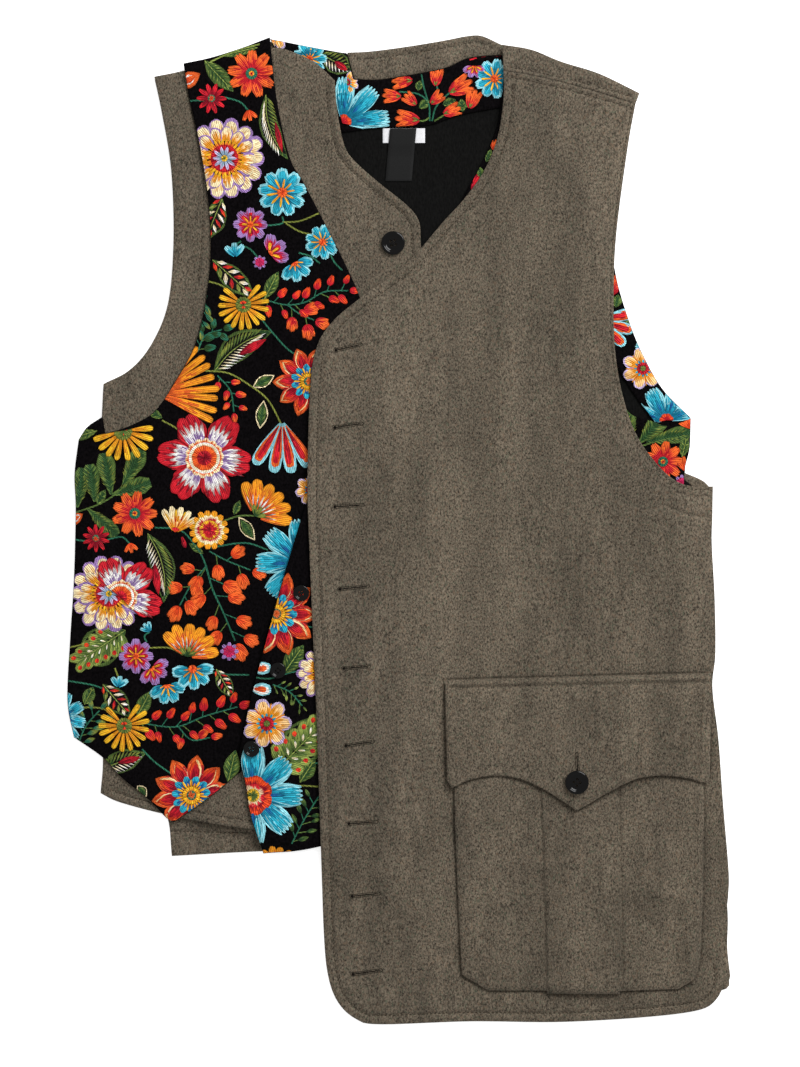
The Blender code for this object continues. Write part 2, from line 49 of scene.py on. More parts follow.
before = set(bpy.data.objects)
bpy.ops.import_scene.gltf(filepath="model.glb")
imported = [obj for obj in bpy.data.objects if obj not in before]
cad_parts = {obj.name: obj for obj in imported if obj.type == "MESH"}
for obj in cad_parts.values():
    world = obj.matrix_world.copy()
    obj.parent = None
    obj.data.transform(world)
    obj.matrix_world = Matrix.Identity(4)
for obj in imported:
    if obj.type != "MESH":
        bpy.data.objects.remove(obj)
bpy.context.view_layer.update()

MM = 0.001

# How the cloth lies, in millimetres.
CELL = 2.0  # of the grid that holds the heights
GRID_X = np.arange(-306.0, 307.0, CELL)
GRID_Y = np.arange(-446.0, 447.0, CELL)
GAP = 0.3
FALL = 0.22  # the steepest slope at which cloth falls off an edge beneath it
FALL_STEPS = 34
SOFTENINGS = 5
WIDENINGS = 3

# How finely an outline is followed, in millimetres.
EDGE_STEP = 4.0
CURVE_SAMPLES = 16  # between two points of an edge
RINGS = (0.4, 1.2, 2.6, 5.0)  # rows of points inside an edge
LINE_SIDES = (-3.0, -1.7, -0.8, 0.0, 0.8, 1.7, 3.0)  # rows of points beside a sewn line
LINE_STEP = 3.0
FINE_STEP = 1.0
BESIDE_ROOM = 0.96  # how near a line beside an edge may come, as a share of its distance
RING_ROOM = 0.9  # the same for the rows inside an edge
LINE_ROOM = 0.3
LATTICE_ROOM = 0.45  # of the lattice, between it and the rows
INSIDE_ONLY = 1  # what the division of a panel into triangles is asked for
SAME_PLACE = 1e-4

# An edge that is turned in, in millimetres.
ROUND_EDGE = 1.5
ROUND_TOP = 0.55  # of the thickness
ROUND_UNDER = 0.25
SWELL_AT = 3.2
SWELL_WIDTH = 2.6
SWELL_RISE = 0.4

# Outlines. Each edge is one smooth curve through its own points and the first point of the next edge, so a
# corner stands wherever an edge starts. Columns: x, y.
SHOULDER_SEAM = ((88.5, 389.5), (120.5, 384), (162.5, 373), (200.5, 361))
WOOL_LEFT_YOKE = {
    "neck end": ((88.5, 389.5),),
    "ridge": ((87.5, 411.5), (113, 407), (138.5, 397), (170, 387)),
    "armhole end": ((204, 370.5),),
}

WOOL_LEFT_FRONT = {
    "armhole": ((200.5, 361), (194, 324), (184.5, 251.5), (182, 195.5), (183.5, 150), (190.5, 111),
                (202, 79.5), (220.5, 54), (236, 41), (250, 37)),
    "side": ((266.5, 37), (266, 10), (265.5, -12), (268, -59.5), (268.5, -105), (266, -134), (271.5, -180),
             (275, -229.5), (280, -290)),
    "vent": ((279.5, -312), (276.5, -340)),
    "hem": ((274.5, -368), (275.5, -384), (269.5, -398.5), (254, -408), (207.5, -414), (137, -418),
            (60.5, -417.5), (-16, -420), (-36.5, -415.5), (-52, -401), (-60.5, -377.5), (-64, -340)),
    "front edge": ((-66.5, -263.5), (-70.5, -144.5), (-75.5, -25.5), (-77.5, 42.5), (-75, 123), (-69, 157),
                   (-54.5, 178.5)),
    "neck": ((-30, 199), (7, 227), (38, 262), (55, 280.5), (72, 304.5), (83.5, 333), (88.5, 365.5)),
}
WOOL_RIGHT_FRONT = {
    "shoulder": ((-208, 385), (-183, 390), (-135, 401), (-108, 409), (-92.5, 406.5), (-72, 397)),
    "neck": ((-54.5, 381.5), (-52, 353), (-46, 325.5), (-36.5, 312), (-16, 294), (7, 275.5), (17, 262)),
    "front edge": ((18.5, 244), (21, 170), (20.5, -25.5)),
    "hem": ((11, -258.5), (-58.5, -258.5), (-122.5, -254), (-166.5, -247.5), (-202.5, -240.5),
            (-238, -231)),
    "side": ((-253.5, -223.5), (-251.5, -193), (-255, -144.5), (-256.5, -25.5), (-253.5, 68)),
    "armhole": ((-251, 124), (-228.5, 136), (-210, 158), (-196, 193), (-191.5, 246.5), (-193.5, 306),
                (-201.5, 354.5)),
}
EMBROIDERED_RIGHT_FRONT = {
    "shoulder": ((-183, 396), (-159, 401), (-132, 409.5)),
    "neck": ((-109.5, 418), (-103.5, 364), (-92.5, 315.5), (-80, 293), (-50, 234.5), (-32.5, 195.5),
             (-21, 153), (-23, 93.5)),
    "front edge": ((-41.5, 25.5), (-77.5, -93.5)),
    "point": ((-101, -180), (-136, -206.5), (-156.5, -223.5), (-185.5, -244), (-194.5, -246.5),
              (-212.5, -228.5), (-235.5, -210), (-251.5, -193)),
    "side": ((-276, -176), (-281.5, -144.5), (-279, -90), (-276, -42.5), (-274.5, 17), (-275.5, 47)),
    "underarm": ((-272, 76.5), (-264.5, 87.5)),
    "notch": ((-251.5, 96),),
    "armhole": ((-249, 81.5), (-228, 88.5), (-207.5, 100.5), (-189.5, 126.5), (-171, 163), (-160.5, 221),
                (-161.5, 276), (-170, 330.5), (-177.5, 364)),
}
EMBROIDERED_LEFT_FRONT = {
    "shoulder": ((90, 401), (137, 391)),
    "armhole": ((194.5, 367), (181, 331.5), (171, 280.5), (167.5, 229.5), (171, 178.5), (181, 132),
                (194.5, 101), (215, 92.5), (228.5, 88.5)),
    "side": ((247.5, 94.5), (246.5, 69.5), (242, 42.5), (247.5, -8.5), (252.5, -93.5)),
    "hem": ((251, -163), (171, -195.5), (43.5, -236.5), (-66.5, -268.5)),
    "cutaway": ((-115, -274.5), (-126, -241.5), (-130, -217)),
    "front edge": ((-136, -191), (-126.5, -146), (-111.5, -88.5), (-93.5, -25.5), (-74, 34), (-50, 79),
                   (-9.5, 157), (26.5, 222.5), (53.5, 280.5), (65.5, 302.5), (79, 330.5), (86, 355.5)),
}
BACK_WOOL = {
    "left shoulder": ((-205, 383.5), (-181, 387.5), (-132, 405.5)),
    "neck": ((-109.5, 415), (-76.5, 408), (-44, 404.5), (7, 409), (37.5, 414), (64.5, 418)),
    "right shoulder": ((86, 409), (113, 404.5), (138.5, 394.5), (170, 384)),
    "right armhole": ((201.5, 368), (191, 324), (179.5, 251.5), (180.5, 222), (190, 184), (200, 157),
                      (212.5, 131), (225, 113.5)),
    "right underarm": ((245, 93.5), (244, 69.5)),
    "right corner": ((243, 48.5), (258, 42)),
    "right side": ((264.5, 35.5), (263.5, 10), (262.5, -15.5), (265, -59.5), (265, -115), (263.5, -136),
                   (269.5, -180), (272.5, -229.5), (277.5, -297.5), (279.5, -330), (279, -355)),
    "hem": ((281.5, -379), (271, -391.5), (188, -387), (43.5, -336), (-50, -272), (-116.5, -273)),
    "tail": ((-193, -277), (-197, -244), (-211.5, -233)),
    "left side": ((-248, -219.5), (-248, -199), (-261, -182), (-273, -173.5), (-278, -144.5),
                  (-275.5, -90), (-273, -42.5), (-271, 17), (-272, 47)),
    "left underarm": ((-268.5, 75), (-262, 85)),
    "left armhole": ((-249, 94.5), (-248, 122.5), (-227, 133.5), (-209, 155.5), (-194.5, 192),
                     (-189.5, 246.5), (-191, 306), (-199, 354.5)),
}
BACK_LINING = {
    "top": ((-172.5, 374), (-116.5, 394.5), (-63, 369), (-7, 365.5), (43.5, 372.5), (94.5, 386),
            (137, 379)),
    "right armhole": ((194.5, 360.5), (181, 306), (171.5, 246.5), (175, 210), (186, 176), (203, 142),
                      (221, 110)),
    "right side": ((238, 89), (237, 50), (254, 25.5), (256, -59.5)),
    "hem": ((257.5, -173.5),),
    "left side": ((-268, -168.5), (-273, -144.5), (-271, -90), (-268.5, -25.5), (-267, 34)),
    "left underarm": ((-262.5, 71.5),),
    "left armhole": ((-244, 89), (-242, 117.5), (-222, 130), (-203, 153), (-188.5, 192),
                     (-183.5, 246.5), (-185.5, 306)),
}
NECK_BAND = {
    "top": ((-44, 405.5), (-24, 406.5), (7, 410.5), (37.5, 415.5), (58.5, 419.5), (70.5, 419.5),
            (86, 412.6)),
    "right end": ((97, 408.6),),
    "bottom": ((97, 404), (61, 401.5), (41.5, 393.5), (22, 389), (-7, 384), (-20.5, 382.5)),
    "left end": ((-38, 383),),
}
NECK_FACING = {
    "shoulder": ((-109.5, 417), (-76.5, 410.5), (-52.5, 406)),
    "band end": ((-44.5, 405),),
    "band seam": ((-38.5, 382.5), (-20.5, 382), (-7, 383.5), (22, 388.5), (41.5, 393), (61, 401)),
    "right end": ((98, 403.5),),
    "bottom": ((99, 361), (53, 352.5), (32.5, 345.5), (22, 343.5), (-11, 341.5), (-26.5, 340.5),
               (-48.5, 337.5)),
    "left end": ((-62, 339.5), (-69, 365.5), (-93, 387)),
}
ARMHOLE_FACING = {
    "outer edge": ((182, 227.5), (187, 204), (196.5, 174), (205, 153), (217.5, 129), (228.5, 114)),
    "underarm": ((247.5, 95.5),),
    "side": ((247, 70),),
    "inner edge": ((226, 80), (212, 98), (195, 122), (180, 150), (173, 190)),
}
FLAP = {
    "seam": ((39, -127.5),),
    "right edge": ((264.5, -121.5),),
    "right scallop": ((263, -213), (256, -214), (247.5, -211), (223.5, -208), (200.5, -211), (179.5, -221),
                      (162.5, -231)),
    "left scallop": ((150.5, -238), (137, -228.5), (120.5, -218.5), (103, -211), (81.5, -208),
                     (60.5, -211.5)),
    "left corner": ((45, -218.5),),
    "left edge": ((41, -213),),
}
POCKET = {
    "mouth": ((47.5, -148.5),),
    "right edge": ((256.5, -144.5), (258.5, -229.5), (257.5, -314.5), (255, -364)),
    "right corner": ((250.5, -381),),
    "right hem": ((237, -389.5),),
    "pleat right": ((187.5, -391),),
    "pleat hem": ((187.5, -393.5),),
    "pleat left": ((126, -393.5),),
    "left hem": ((126, -391),),
    "left corner": ((75.5, -391),),
    "left edge": ((53.5, -377.5), (49.5, -297.5), (47, -217.5)),
}
PLEAT = {
    "right fold": ((184, -138), (184.5, -221), (186.5, -314)),
    "right end": ((187.5, -391),),
    "hem": ((187.5, -393.5),),
    "left end": ((126, -393.5),),
    "left fold": ((126, -391), (124, -314), (121, -218)),
    "mouth": ((120, -140),),
}


# Cloth, in millimetres.
WOOL = 1.5
VELVET = 1.6
FACING = 1.2
LINING = 1.0
STITCH_ROOM = 0.9  # left over an embroidered panel for its stitches
NO_CLOTH = -99.0
WAVES = 14
WAVE_LENGTHS = (45, 150)

# Pocket, in millimetres.
POCKET_ROOM = 1.2  # between the pocket and the front that it is sewn to
PLEAT_RISE = 1.5
POCKET_MOUTH = -150.0
POCKET_MARGIN = 8.0  # inside the edge, where the front has surely risen
POCKET_RIM = 1.0  # of the edge, that stays low
POCKET_SLOPE = 4.0  # over which the front rises

# Soft folds, and troughs where the rise is negative. They fade towards both ends. Columns: from x, y,
# to x, y, width, rise.
FOLD_END = 0.1  # how far round its half turn a fold starts
FOLDS = {
    "wool_left_front": (
        (30, 150, 5, -60, 16, 1.2),  # chest, beside the placket
        (92, 280, 86, -40, 18, 1.0),  # chest, middle
        (150, 120, 160, -70, 14, 1.1),  # chest, right
        (196, 40, 184, -90, 14, 1.3),  # underarm
        (-52, 120, -30, 40, 16, 1.0),  # waist, front edge
        (5, -250, -10, -370, 20, 1.4),  # hem, beside the pocket
        (-40, -285, 20, -292, 14, 0.9),  # hem, front edge
    ),
    "pocket_body": (
        (181, -272, 192, -331, 4, -0.7),  # crease beside the pleat
        (190, -318, 232, -350, 7, -1.5),  # crease to the corner
        (203, -305, 250, -312, 8, 3.0),  # crest beside the corner
        (246.5, -306, 246.5, -392, 6, 3.2),  # crest of the right edge
        (126, -355, 186, -351, 12, 2.6),  # crest across the pleat
        (84, -282, 142, -286, 6, 1.8),  # upper crest of the left side
        (50, -313, 124, -317, 7, 2.0),  # lower crest of the left side
        (130, -319, 180, -311, 6, -0.6),  # crease across the pleat
        (60, -250, 112, -300, 14, -0.7),  # hollow of the left side
        (70, -330, 110, -360, 14, 0.8),  # swell of the left side
        (215, -262, 240, -300, 13, 0.9),  # swell of the right side
        (240, -345, 246, -372, 8, 0.9),  # swell at the right corner
    ),
    "pocket_flap": (
        (60, -175, 110, -190, 16, 0.6),  # swell of the left side
        (190, -180, 240, -175, 16, 0.6),  # swell of the right side
    ),
    "wool_right_front": (
        (-185, -246, -85, -258, 13, 4.5),  # lift of the hem
        (-190, 350, -180, 220, 9, 0.5),  # strap of the shoulder
    ),
}

# Pressed creases and ridges. Columns: the panel, the line through, depth, width.
CREASES = (
    ("pocket_body", ((119.8, -204), (120, -221), (123.2, -314.5), (125.5, -388)), 1.1, 0.9),
    ("pocket_body", ((186.6, -204), (186.8, -221), (189, -331), (189.6, -388)), 1.2, 1.2),
    ("pocket_body", ((253.5, -204), (254.3, -229.5), (253.6, -314.5), (251, -360)), -0.9, 1.3),
    ("pocket_body", ((190, -296), (200, -318), (222, -344)), 0.6, 3.0),
    ("pocket_body", ((195, -236), (197, -290), (195, -345)), 1.3, 6.5),
    ("pocket_body", ((248, -346), (246, -358), (240, -370)), -1.2, 2.2),
    ("pocket_flap", ((45, -134), (150, -131.6), (262, -129)), 1.4, 1.2),
    ("pocket_flap", ((43, -130.5), (150, -127.8), (260, -125.4)), -1.2, 1.6),
    ("pocket_flap", ((257.5, -136), (256.5, -175), (255.5, -208)), -0.9, 1.3),
    ("back_neck_band", ((-38, 383.5), (-7, 384.5), (22, 389.5), (41.5, 394), (61, 402)), 0.9, 4.0),
    ("wool_right_front", ((-68.8, 346.8), (-53, 343.4)), 0.9, 1.1),
    ("wool_left_front", ((226, 20.5), (245.7, 12.8), (264, 10.2)), 1.3, 1.3),
    ("wool_left_front", ((236, 31.5), (250, 28.5), (264, 28)), 0.8, 1.2),
)

# Dents that the edge of one panel leaves in the panel beneath it.
DENTED = (("wool_left_front", "pocket_body"), ("wool_left_front", "pocket_flap"),
          ("pocket_body", "pocket_flap"))
DENT = (1.2, 1.0)  # depth, width
DENT_OUT = 0.5  # outside the edge

# Sewing, in millimetres.
GROOVE = (1.15, 1.45)  # depth, width
STITCH_PITCH = 3.5
STITCH = (2.6, 1.0, 0.5)  # length, width, height
STITCH_UP = 0.15  # of its height, by which its middle stands over the cloth
TOPSTITCHED = (  # the panel, the distance inside, the edges
    ("wool_left_front", 7.5, ("hem", "front edge", "neck")),
    ("wool_left_front", 2.5, ("armhole",)),
    ("wool_right_front", 7.7, ("neck", "front edge")),
    ("wool_right_front", 7.0, ("hem",)),
    ("back_neck_band", 6.0, ("top",)),
)
SEWN_ALONG = (  # the panel, the line through
    ("wool_left_yoke", ((92, 392.5), (121, 387.5), (153, 380), (197, 367.5))),
    ("wool_left_front", ((92.5, 384), (121, 378.6), (152, 371), (196, 358.5))),
    ("wool_right_front", ((-179.3, 374), (-175.9, 363.8), (-171.7, 340), (-167.4, 311.9), (-165.8, 289),
                          (-166.6, 266.1), (-167.4, 243.9), (-170.8, 209.9))),
    ("back_wool", ((-193, -255.8), (-160, -256.6), (-127, -257.6))),
)

# Buttonholes. Columns: the panel, one end x, y, the other end x, y.
BUTTONHOLES = (
    ("wool_left_front", -53.5, 152.2, -32.3, 157.2),
    ("wool_left_front", -54.4, 86.7, -31.4, 90.1),
    ("wool_left_front", -54.4, 19.6, -30.6, 21.2),
    ("wool_left_front", -50.1, -50.1, -26.3, -47.6),
    ("wool_left_front", -46.8, -117.3, -25.5, -115.6),
    ("wool_left_front", -45.0, -182.8, -22.1, -179.3),
    ("wool_left_front", -42.5, -249.0, -19.0, -247.3),
    ("wool_left_front", -39.9, -311.1, -17.0, -308.6),
    ("wool_left_front", -39.1, -377.4, -15.3, -374.0),
    ("pocket_flap", 151.3, -205.0, 150.4, -189.5),
)

# Buttons. Columns: name, x, y, radius, thickness, the panel beneath, turn.
BUTTONS = (
    ("neck_button", -5, 243.5, 10, 3.2, "wool_right_front", 12),
    ("pocket_button", 150.5, -213.5, 10, 3.6, "pocket_flap", 40),
    ("waistcoat_button_1", -82.8, -53.5, 6.8, 2.6, "embroidered_left_front", 20),
    ("waistcoat_button_2", -102.5, -119, 6.8, 2.6, "embroidered_left_front", 50),
    ("waistcoat_button_3", -125, -185.5, 6.8, 2.6, "embroidered_left_front", 5),
)
# A button's turned profile. Columns: share of the radius, share of the thickness.
BUTTON_PROFILE = ((0, 0), (0.62, 0), (0.86, 0.14), (0.96, 0.34), (1.0, 0.58), (0.985, 0.82), (0.93, 0.96),
                  (0.86, 1.0), (0.79, 0.96), (0.73, 0.85), (0.66, 0.68), (0.56, 0.60), (0.4, 0.585),
                  (0, 0.58))
BUTTON_SIDES = 48
HOLE_SIDES = 16
HOLE_RADIUS = 0.11  # of the button's radius
HOLES_OUT = 0.26  # of the button's radius

# Labels at the back of the neck, in millimetres.
LABEL_X = (-7.7, 14.8)
LABEL_LEAN = 0.09  # sideways for each millimetre down
SIZE_TAB_X = (-13.8, 22.1)
# How they hang, the label over the tab. Columns: y, height above the lining.
LABEL_FALL = ((340.8, 1.6), (334, 1.7), (327.5, 1.6), (323, 0.9), (318, 0.4), (310, 0.6), (301, 0.5),
              (296, 0.3))
SIZE_TAB_FALL = ((341.0, 0.3), (328.5, 0.45))
STRIP = 0.6  # thickness
STRIP_ROWS = 24
STRIP_ROUND = 0.2  # of its edges
STRIP_OVER = (2.0, 318.0)  # where the height of the lining is taken

# Thread colours, as written for screens.
THREADS = {
    "orange": "F0662A", "red": "CC1E2C", "deep red": "930E24", "orange red": "E5481F", "gold": "F0B828",
    "amber": "F39A22", "peach": "F6C888", "cream": "F6E3B4", "white": "F2EFE9", "lilac": "9A78B2",
    "pale lilac": "C4B0D4", "aqua": "2CA9C2", "pale aqua": "8FD3DE", "deep aqua": "167C9C",
    "blue": "1C5FA0", "teal": "2A6B52", "dark green": "2A4B28", "green": "597236", "olive": "7C8438",
    "light green": "8A9A4A", "magenta": "C02458", "grey blue": "93AEC4", "black": "0A0A0A",
}

# Petal shapes. Columns: width at five stops from base to tip, how far the sides of the tip fall back as a
# share of the width, lobes of the tip, their depth as a share of the length.
SHAPES = {
    "round": ((0.3, 0.66, 0.94, 1, 0.84), 0.45, 1, 0),
    "lobe": ((0.5, 0.74, 0.92, 1.02, 0.96), 0.5, 1, 0),
    "pointed": ((0.42, 0.86, 1, 0.72, 0.04), 0, 1, 0),
    "narrow": ((0.34, 0.66, 0.92, 1, 0.7), 0.5, 1, 0),
    "finger": ((0.4, 0.62, 0.84, 1, 1), 0.5, 1, 0),
    "tulip": ((0.16, 0.5, 0.8, 1, 0.92), 0.45, 1, 0),
    "notched": ((0.34, 0.7, 0.95, 1, 0.76), 0.22, 3, 0.08),
    "heart": ((0.22, 0.52, 0.88, 1.06, 0.84), 0.3, 2, 0.08),
    "scallop": ((0.42, 0.72, 0.95, 1.02, 0.88), 0.32, 3, 0.06),
    "ragged": ((0.34, 0.66, 0.92, 1.04, 0.9), 0.15, 5, 0.09),
    "poppy": ((0.4, 0.92, 1, 0.86, 0.5), 0.25, 5, 0.09),
    "lens": ((0.04, 0.74, 1, 0.7, 0.04), 0, 1, 0),
}

# Flowers, from the lowest layer up. Radii are shares of the flower's radius. Petals and streaks are counted
# for a whole flower, a fan's petals for the part that is drawn.
# Petals: count, from, to, width as a share of their spacing, shape, colour at the base, at the tip.
# Rings: scallops, from, to, inner colour, outer colour.
AQUA_PETALS = (
    ("petals", 8, 0.14, 1, 0.92, "ragged", "pale aqua", "pale aqua"),
    ("petals", 8, 0.14, 0.95, 0.8, "ragged", "deep aqua", "aqua"),
    ("streaks", 8, 0.34, 0.9, 0.06, "narrow", "pale aqua", "pale aqua"),
    ("petals", 8, 0.3, 0.66, 0.24, "lens", "blue", "deep aqua"),
)
FLOWERS = {
    "fire daisy": (
        ("petals", 9, 0.16, 1, 1, "notched", "red", "orange"),
        ("petals", 9, 0.14, 0.66, 0.32, "pointed", "deep red", "red"),
        ("ring", 0, 0.09, 0.24, "teal", "teal"),
        ("ring", 0, 0.02, 0.11, "red", "amber"),
    ),
    "red star": (
        ("petals", 10, 0.14, 1, 0.82, "narrow", "deep red", "red"),
        ("ring", 0, 0.02, 0.26, "orange red", "teal"),
    ),
    "grand rosette": (
        ("petals", 14, 0.55, 1, 1.1, "lobe", "pale lilac", "lilac"),
        ("petals", 14, 0.55, 0.95, 0.9, "lobe", "peach", "cream"),
        ("petals", 13, 0.42, 0.8, 1.1, "lobe", "lilac", "lilac"),
        ("petals", 13, 0.42, 0.76, 0.88, "lobe", "amber", "cream"),
        ("petals", 30, 0.26, 0.5, 0.9, "pointed", "orange", "gold"),
        ("ring", 0, 0.17, 0.34, "deep red", "red"),
        ("petals", 10, 0.06, 0.31, 0.74, "round", "grey blue", "pale lilac"),
        ("ring", 0, 0.01, 0.08, "olive", "gold"),
    ),
    "aqua bloom": (
        ("petals", 9, 0.22, 1, 1.14, "scallop", "aqua", "pale aqua"),
        ("petals", 9, 0.2, 0.9, 0.92, "round", "deep aqua", "aqua"),
        ("petals", 10, 0.14, 0.64, 0.44, "narrow", "amber", "gold"),
        ("ring", 0, 0.01, 0.2, "orange red", "orange"),
    ),
    "lilac bloom": (
        ("petals", 8, 0.2, 1, 1.06, "scallop", "magenta", "lilac"),
        ("petals", 8, 0.18, 0.72, 0.8, "round", "deep red", "red"),
        ("petals", 8, 0.14, 0.62, 0.5, "narrow", "amber", "gold"),
        ("ring", 0, 0.01, 0.2, "orange red", "orange"),
    ),
    "yellow daisy": (
        ("petals", 17, 0.26, 1, 0.74, "finger", "amber", "gold"),
        ("ring", 12, 0.12, 0.32, "green", "olive"),
        ("ring", 0, 0.01, 0.16, "deep red", "orange red"),
        ("fan", 2, 0, 0.3, 0.9, "lens", "green", "olive"),
    ),
    "gold fan": (("fan", 8, 0.1, 1, 0.92, "finger", "orange", "amber"),),
    "six petal bloom": (
        ("petals", 6, 0.16, 1, 0.92, "heart", "red", "red"),
        ("streaks", 6, 0.34, 0.92, 0.15, "lens", "white", "deep red"),
        ("streaks", 6, 0.28, 0.74, 0.22, "lens", "lilac", "white"),
        ("ring", 14, 0.3, 0.42, "orange", "cream"),
        ("ring", 0, 0.24, 0.33, "cream", "white"),
        ("ring", 9, 0.12, 0.28, "orange red", "orange"),
        ("ring", 7, 0.01, 0.17, "deep red", "red"),
    ),
    "sunflower": (
        ("petals", 10, 0.34, 1, 1, "pointed", "red", "orange"),
        ("petals", 10, 0.34, 0.92, 0.82, "pointed", "cream", "peach"),
        ("petals", 10, 0.34, 0.89, 0.76, "pointed", "red", "orange red"),
        ("petals", 10, 0.34, 0.8, 0.6, "pointed", "deep red", "red"),
        ("petals", 11, 0.24, 0.5, 0.96, "round", "blue", "aqua"),
        ("petals", 22, 0.18, 0.4, 0.7, "narrow", "amber", "gold"),
        ("ring", 0, 0.1, 0.22, "amber", "gold"),
        ("ring", 0, 0.01, 0.13, "orange", "teal"),
    ),
    "cream bloom": (
        ("petals", 7, 0.24, 1, 1.04, "lobe", "lilac", "pale lilac"),
        ("petals", 7, 0.24, 0.93, 0.88, "lobe", "amber", "peach"),
        ("petals", 14, 0.3, 0.82, 0.22, "narrow", "orange", "amber"),
        ("petals", 12, 0.2, 0.42, 0.56, "round", "blue", "aqua"),
        ("ring", 9, 0.1, 0.3, "deep red", "red"),
        ("ring", 0, 0.01, 0.13, "olive", "green"),
    ),
    "aqua wings": AQUA_PETALS + (("ring", 7, 0.01, 0.2, "red", "orange red"),),
    "aqua leafy": AQUA_PETALS + (
        ("ring", 7, 0.16, 0.4, "deep red", "orange red"),
        ("ring", 7, 0.08, 0.26, "cream", "red"),
        ("ring", 0, 0.01, 0.15, "green", "gold"),
    ),
    "oval rosette": (
        ("petals", 15, 0.55, 1, 1, "lobe", "gold", "amber"),
        ("ring", 16, 0.42, 0.78, "red", "cream"),
        ("ring", 14, 0.24, 0.52, "red", "gold"),
        ("ring", 0, 0.01, 0.24, "deep red", "red"),
    ),
    "gold tulip": (
        ("fan", 6, 0.16, 1, 1.2, "lobe", "orange", "amber"),
        ("fan", 6, 0.3, 0.86, 0.3, "narrow", "amber", "gold"),
        ("fan", 9, 0.14, 0.6, 0.46, "lens", "green", "white"),
        ("fan", 8, 0.14, 0.52, 0.28, "lens", "green", "red"),
        ("fan", 3, 0, 0.3, 0.9, "round", "dark green", "olive"),
    ),
    "hanging tulip": (
        ("fan", 4, 0.06, 1, 1.06, "tulip", "pale aqua", "pale aqua"),
        ("fan", 4, 0.12, 0.93, 0.86, "tulip", "orange", "orange"),
        ("fan", 4, 0.16, 0.85, 0.62, "tulip", "deep red", "red"),
        ("fan", 4, 0.2, 0.62, 0.14, "lens", "pale lilac", "orange"),
    ),
    "orange bud": (("fan", 3, 0.04, 1, 0.96, "notched", "orange red", "orange"),),
    "poppy bud": (
        ("fan", 3, 0, 1, 1.7, "poppy", "red", "orange"),
        ("fan", 1, 0, 0.78, 0.26, "lens", "deep red", "orange red"),
        ("fan", 2, 0, 0.3, 0.9, "lens", "green", "olive"),
    ),
    "edged bud": (
        ("fan", 1, 0, 1, 0.8, "pointed", "orange", "orange"),
        ("fan", 1, 0.14, 0.86, 0.52, "pointed", "white", "white"),
        ("fan", 1, 0.18, 0.8, 0.4, "pointed", "orange red", "orange"),
    ),
    "white bud": (
        ("fan", 5, 0.1, 1, 0.96, "lobe", "amber", "cream"),
        ("fan", 4, 0.2, 0.9, 0.36, "narrow", "red", "gold"),
        ("ring", 0, 0.01, 0.2, "orange red", "red"),
    ),
    "striped bud": (
        ("fan", 1, 0, 1, 0.94, "tulip", "pale aqua", "pale aqua"),
        ("fan", 1, 0.08, 0.92, 0.72, "tulip", "white", "white"),
        ("fan", 1, 0.22, 0.8, 0.54, "tulip", "orange red", "orange"),
    ),
    "aqua bud": (
        ("fan", 3, 0.04, 1, 1.04, "scallop", "aqua", "pale aqua"),
        ("fan", 3, 0.04, 0.78, 0.8, "round", "deep aqua", "aqua"),
    ),
    "lilac bud": (
        ("petals", 8, 0.2, 1, 1, "round", "lilac", "lilac"),
        ("ring", 6, 0.01, 0.72, "magenta", "magenta"),
        ("petals", 4, 0.1, 0.55, 0.5, "narrow", "red", "red"),
    ),
    "red bud": (("fan", 1, 0, 1, 0.66, "poppy", "deep red", "red"),),
}

